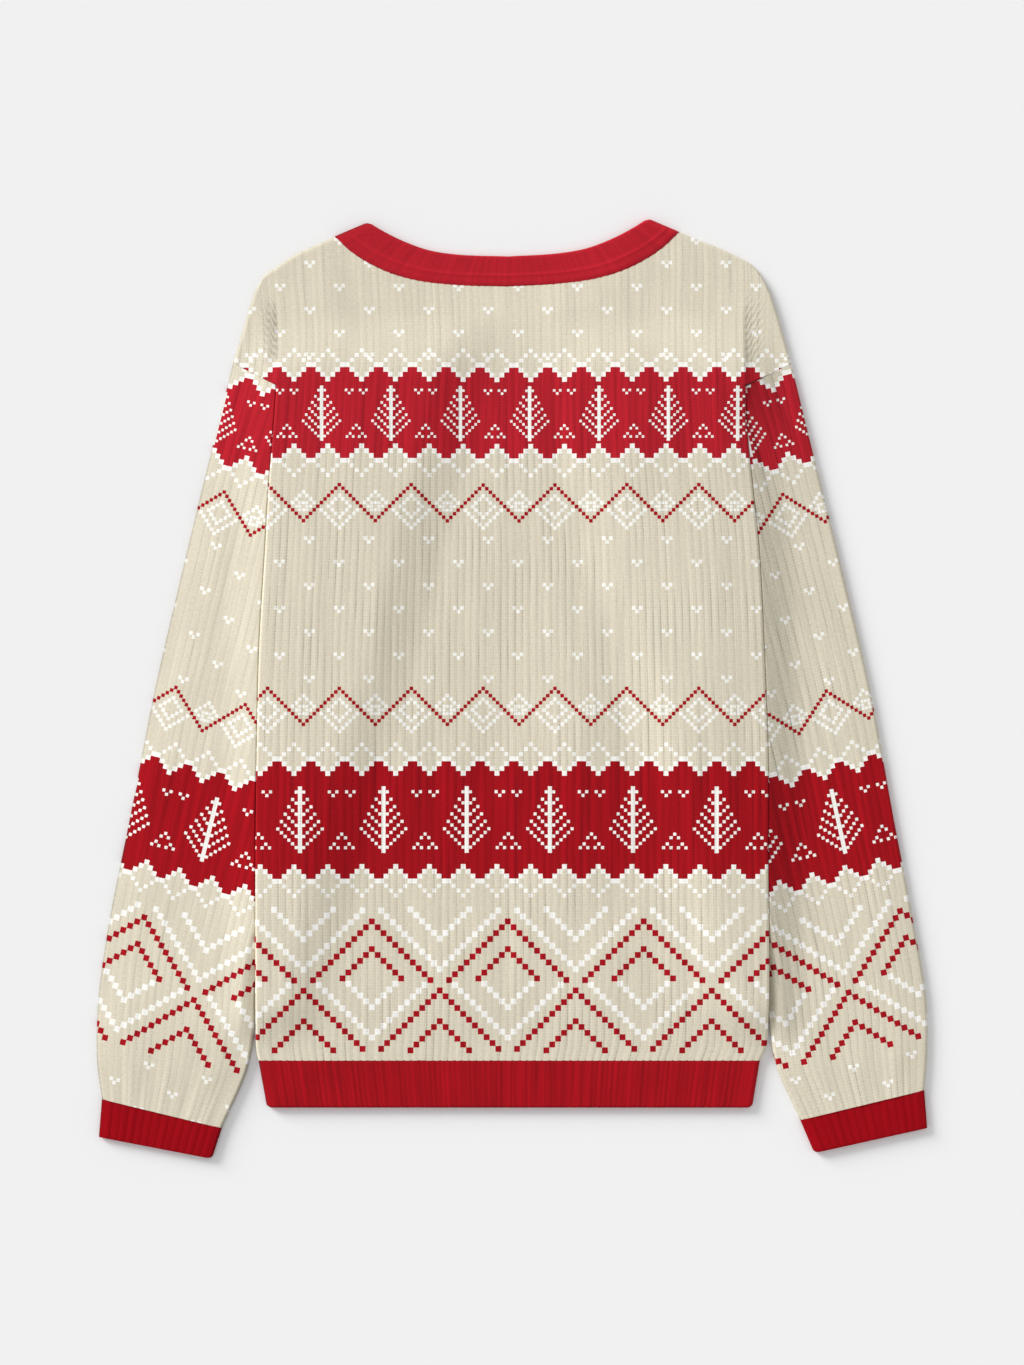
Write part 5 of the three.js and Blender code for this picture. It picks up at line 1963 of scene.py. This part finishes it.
@dataclass
class HemBand:
    """The hem band, a flat tube in fine rib that narrows a little to its free edge."""

    placement: Placement
    rows: int = 24
    inner_rows: int = 8
    edge_inset: float = 2.4
    edge_drop: float = 0.4
    edge_reach: float = 3.0

    def section(self, down: float) -> Section:
        """Returns the cut across the band part of the way down to its free edge."""
        y = min(mix(HEM_SEAM_Y, HEM_EDGE_Y, down), HEM_SEAM_Y - SEAM_GAP)
        rounded = 1 - float(curl(min((y - HEM_EDGE_Y) / self.edge_reach, 1.0) * RIM_HEIGHT))
        left = mix(HEM_SEAM_ENDS.left, HEM_EDGE_ENDS.left, down) + self.edge_inset * rounded
        right = mix(HEM_SEAM_ENDS.right, HEM_EDGE_ENDS.right, down) - self.edge_inset * rounded
        height = FLAT_STACK - self.edge_drop * rounded
        return Section(
            lambda across: (mix(left, right, across), y + 0 * across),
            lambda x, place_y, across: height + 0 * across,
            y / COURSE_PITCH,
        )

    def build(self) -> bpy.types.Object:
        """Builds the band's closed shell."""
        tube = FlatTube("hem_knit", self.placement, HEM_RIBS, columns_per_rib=6)
        fine = [self.section(float(down)) for down in np.linspace(1.0, 0.0, self.rows + 1)]
        coarse = [self.section(float(down)) for down in np.linspace(1.0, 0.0, self.inner_rows)]
        return tube.build_from(fine, coarse)


@dataclass
class Neckband:
    """The neckband, one ring: its upper run follows the back neckline, its lower run the front's."""

    placement: Placement
    rows: int = 24
    inner_parts: tuple[float, ...] = (0.0, 0.5, 1.0)
    ridge_at: float = 0.36
    ridge_width: float = 0.035
    ridge_painted_light: float = 0.3
    ribs_fade: float = 0.2
    edge_from: float = 0.93
    edge_over: float = 0.07
    edge_drop: float = 0.6
    seam_drop: float = 0.6
    seam_reach: float = 0.1
    peak_round: float = 2.4
    peak_from: float = 0.88
    peak_shift: float = 0.8

    def section(self, part: float) -> Section:
        """Returns the cut round the ring part of the way from its seam to its free edge."""
        turn = max(0.0, (part - self.peak_from) / (1 - self.peak_from))
        keep = 1 - self.peak_round * (1 - math.sqrt(1 - turn**2)) / NECK_PEAK_HALF
        half = mix(NECK_CORNER_HALF, NECK_PEAK_HALF, part)
        on_ridge = float(bell((part - self.ridge_at) / self.ridge_width))
        rise = NECK_RIDGE_RISE * on_ridge
        rise -= self.edge_drop * float(smooth((part - self.edge_from) / self.edge_over))
        rise -= self.seam_drop * float(1 - smooth(part / self.seam_reach))
        # A highlight is painted along the ridge.
        light = self.ridge_painted_light * on_ridge
        middle = NECK_MIDDLE_X + self.peak_shift * part

        def top(across: Number) -> tuple[Number, Number]:
            """Returns the plan of the back run."""
            seam_x = mix(-NECK_CORNER_HALF, NECK_CORNER_HALF, across) * keep
            edge_x = mix(-NECK_PEAK_HALF, NECK_PEAK_HALF, across) * keep
            seam = NECK_BACK_Y + NECK_SEAM_RISE(np.abs(seam_x)) + NECK_TILT * seam_x
            edge = NECK_BAND_TOP_Y + NECK_EDGE_RISE(np.abs(edge_x)) + NECK_TILT * edge_x
            return middle + mix(seam_x, edge_x, part), mix(seam, edge, part)

        def bottom(across: Number) -> tuple[Number, Number]:
            """Returns the plan of the front run."""
            x = -half * keep * np.cos(math.pi * across)
            depth = mix(FRONT_NECK_DEPTH, FRONT_BAND_DEPTH, part) * np.sin(math.pi * across)
            return middle + x, mix(NECK_CORNER_Y, NECK_PEAK_Y, part) + NECK_TILT * x - depth

        return Section(
            top,
            lambda x, y, across: 2 * NECK_WALL + LAYER_AIR - neck_sag(x, y) + rise,
            part * NECKBAND_DEPTH / COURSE_PITCH,
            bottom,
            NECK_WALL,
            float(smooth((part - self.ridge_at) / self.ribs_fade)),
            lambda x, y, across: -light,
        )

    def build(self) -> bpy.types.Object:
        """Builds the ring's closed shell."""
        tube = FlatTube("neckband_knit", self.placement, NECK_RIBS, inside_columns=60)
        fine = [self.section(float(part)) for part in np.linspace(0.0, 1.0, self.rows + 1)]
        return tube.build_from(fine, [self.section(part) for part in self.inner_parts])


@dataclass(frozen=True)
class Studio:
    """The pale floor, the soft light from the upper left and the camera over the garment."""

    floor_size: float = 12.0
    floor_level: float = -0.3 * MM
    floor_colour: tuple[float, ...] = (0.87, 0.87, 0.875, 1.0)
    floor_roughness: float = 0.95
    floor_gloss: float = 0.1
    camera_height: float = 2.58
    lens: float = 85.0
    middle_y: float = 5.0 * MM
    sun_strength: float = 3.4
    sun_softness: float = math.radians(26)
    sun_tilt: float = math.radians(70)
    sun_heading: float = math.radians(40)
    sky_strength: float = 0.64

    def build(self) -> None:
        """Adds the floor, the light and the camera."""
        self._add_floor()
        self._add_light()
        self._add_camera()

    def _add_floor(self) -> None:
        """Adds the floor."""
        half = self.floor_size / 2
        corners = [(-half, -half), (half, -half), (half, half), (-half, half)]
        mesh = bpy.data.meshes.new("floor")
        mesh.from_pydata([(x, y, self.floor_level) for x, y in corners], [], [(0, 1, 2, 3)])
        floor = bpy.data.objects.new("floor", mesh)
        bpy.context.scene.collection.objects.link(floor)
        paper = bpy.data.materials.new("pale paper")
        paper.use_nodes = True
        shader = paper.node_tree.nodes["Principled BSDF"]
        shader.inputs["Base Color"].default_value = self.floor_colour
        shader.inputs["Roughness"].default_value = self.floor_roughness
        shader.inputs["Specular IOR Level"].default_value = self.floor_gloss
        mesh.materials.append(paper)

    def _add_light(self) -> None:
        """Adds the low soft sun and the even light all round."""
        light = bpy.data.lights.new("key", "SUN")
        light.energy = self.sun_strength
        light.angle = self.sun_softness
        key = bpy.data.objects.new("key", light)
        key.rotation_euler = (0.0, -self.sun_tilt, -self.sun_heading)
        bpy.context.scene.collection.objects.link(key)
        world = bpy.data.worlds.new("soft room")
        world.use_nodes = True
        world.node_tree.nodes["Background"].inputs[0].default_value = (1.0, 1.0, 1.0, 1.0)
        world.node_tree.nodes["Background"].inputs[1].default_value = self.sky_strength
        bpy.context.scene.world = world
        bpy.context.scene.view_settings.view_transform = "Standard"

    def _add_camera(self) -> None:
        """Adds the camera that looks straight down on the garment."""
        data = bpy.data.cameras.new("camera")
        data.lens = self.lens
        camera = bpy.data.objects.new("camera", data)
        camera.location = (0.0, self.middle_y, self.camera_height)
        bpy.context.scene.collection.objects.link(camera)
        bpy.context.scene.camera = camera


@dataclass
class Seams:
    """Rows of linked stitches that join the pieces along their seams."""

    placement: Placement
    tree: bpy.types.NodeTree
    spacing: float = 1.2
    loop: float = 0.6
    yarn: float = 0.34
    steps: int = 160
    neck_end: float = 1.0
    hem_end: float = 2.0
    cuff_end: float = 0.03
    seed: int = 7

    def build(self, cloth: KnitFinish, band: KnitFinish, neck: KnitFinish) -> None:
        """Links every seam.

        Args:
            cloth: Finish of the armhole seams.
            band: Finish of the hem's and the cuffs' seams.
            neck: Finish of the neck seam.
        """
        self._link("neck_seam", self._neck(), neck)
        self._link("hem_seam", self._hem(), band)
        for side in Side:
            word = side.name.lower()
            self._link(f"cuff_{word}_seam", self._cuff(side), band)
            self._link(f"armhole_{word}_seam", self._armhole(side), cloth)

    def _neck(self) -> Array:
        """Returns the path of the neck seam."""
        reach = NECK_CORNER_HALF - self.neck_end
        x = NECK_MIDDLE_X + np.linspace(-reach, reach, self.steps)
        y = back_neck_y(x) - NECK_SEAM_GAP / 2
        return np.column_stack([x, y, FLAT_STACK - self.yarn / 2 - neck_sag(x, y)])

    def _hem(self) -> Array:
        """Returns the path of the hem seam."""
        left, right = HEM_SEAM_ENDS.left + self.hem_end, HEM_SEAM_ENDS.right - self.hem_end
        x = np.linspace(left, right, self.steps)
        y = HEM_SEAM_Y - SEAM_GAP / 2 + 0 * x
        return np.column_stack([x, y, FLAT_STACK - self.yarn / 2 + 0 * x])

    def _cuff(self, side: Side) -> Array:
        """Returns the path of a cuff's seam."""
        cuff = Cuff(Sleeve(side, self.placement))
        across = np.linspace(self.cuff_end, 1 - self.cuff_end, self.steps)
        x, y = cuff.section(0.0).top(across)
        return np.column_stack([x, y + SEAM_GAP / 2, FLAT_STACK - self.yarn / 2 + 0 * across])

    def _armhole(self, side: Side) -> Array:
        """Returns the path of an armhole's seam along the lower edge of the dropped shoulder."""
        panel = BodyPanel(Panel.BACK, self.placement)
        insets = [step * RIM_HEIGHT for step in panel.curl_steps]
        places = panel.shoulder_places(side, insets, Row(at=0.0))
        z = panel.height(Face.OUTER, places)
        keep = places.to_outline > RIM_HEIGHT
        drop = SEAM_GAP / 2 / math.cos(SEAM_SLOPE)
        return np.column_stack([places.x, places.y - drop, z - self.yarn / 2])[keep]

    def _link(self, name: str, path: Array, finish: KnitFinish) -> None:
        """Links a row of small loops along a path.

        Args:
            name: Name of the piece.
            path: Points of the seam on the plan with their heights, in millimetres.
            finish: The yarn's finish.
        """
        data = bpy.data.curves.new(name, "CURVE")
        data.dimensions = "3D"
        spline = data.splines.new("POLY")
        spline.points.add(len(path) - 1)
        placed = (path + (self.placement.shift_x, self.placement.shift_y, 0.0)) * MM
        spline.points.foreach_set("co", np.column_stack([placed, np.ones(len(path))]).ravel())
        seam = bpy.data.objects.new(name, data)
        bpy.context.scene.collection.objects.link(seam)
        made = bake(
            seam,
            self.tree,
            Spacing=self.spacing * MM,
            Loop=self.loop * MM,
            Yarn=self.yarn * MM,
            Seed=self.seed,
            Material=finish.material,
        )
        count = len(made.data.vertices)
        points = np.empty(count * 3)
        made.data.vertices.foreach_get("co", points)
        points = points.reshape(-1, 3) / MM - (self.placement.shift_x, self.placement.shift_y, 0.0)
        middle = np.column_stack([np.full(count, HALF_RIB), points[:, 1] / COURSE_PITCH, np.zeros(count)])
        set_vectors(made.data, "pattern", points * (MM, MM, 0.0))
        set_vectors(made.data, "stitch", middle)
        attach(made, "root")
        log.info("%s: %d faces", name, len(made.data.polygons))


def declare(piece: bpy.types.Object, node: str) -> None:
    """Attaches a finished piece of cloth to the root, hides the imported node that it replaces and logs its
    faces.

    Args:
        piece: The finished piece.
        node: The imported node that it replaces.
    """
    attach(piece, "root")
    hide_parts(node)
    log.info("%s: %d faces", piece.name, len(piece.data.polygons))


def main() -> None:
    """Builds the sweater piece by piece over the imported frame."""
    logging.basicConfig(level=logging.INFO, format="%(name)s %(message)s")
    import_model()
    placement = Placement.from_frame()
    log.info("plan shifted by %.2f, %.2f mm", placement.shift_x, placement.shift_y)

    cloth = KnitFinish("patterned rib knit", KnitLook(), YARNS.cream, charted=True)
    fine = KnitLook(painted_groove_shade=0.3, streak_shade=0.9, mottle_shade=0.5)
    band = KnitFinish("red rib", fine, YARNS.red, charted=False)
    broad = KnitLook(gloss=0.06, sheen=0.02, painted_groove_shade=0.22, painted_thread_shade=0.0, streak_shade=0.5)
    cuffs = KnitFinish("red cuff rib", broad, YARNS.cuff_red, charted=False)
    soft = KnitLook(painted_groove_shade=0.1, streak_shade=0.5)
    neck = KnitFinish("bright red rib", soft, YARNS.bright_red, charted=False)
    relief = rib_relief_tree()
    ribs = Ribs()
    broad_ribs = Ribs(rise=0.65, roundness=2.5, seed=5.0)
    faint_ribs = Ribs(rise=0.15, unevenness=1.3, seed=9.0)

    back = ribs.raise_on(BodyPanel(Panel.BACK, placement).build(), relief, cloth)
    declare(back, "back")
    front = ribs.raise_on(BodyPanel(Panel.FRONT, placement).build(), relief, cloth)
    declare(front, "front")
    for side in Side:
        word = side.name.lower()
        sleeve = Sleeve(side, placement)
        tube = ribs.raise_on(sleeve.build(), relief, cloth)
        declare(tube, f"sleeve_{word}")
        cuff = broad_ribs.raise_on(Cuff(sleeve).build(), relief, cuffs)
        declare(cuff, f"cuff_{word}")
    hem = ribs.raise_on(HemBand(placement).build(), relief, band)
    declare(hem, "hem_rib")
    neckband = faint_ribs.raise_on(Neckband(placement).build(), relief, neck)
    declare(neckband, "neckband")
    Seams(placement, stitch_row_tree()).build(cloth, band, neck)

    Studio().build()


if __name__ == "__main__":
    main()
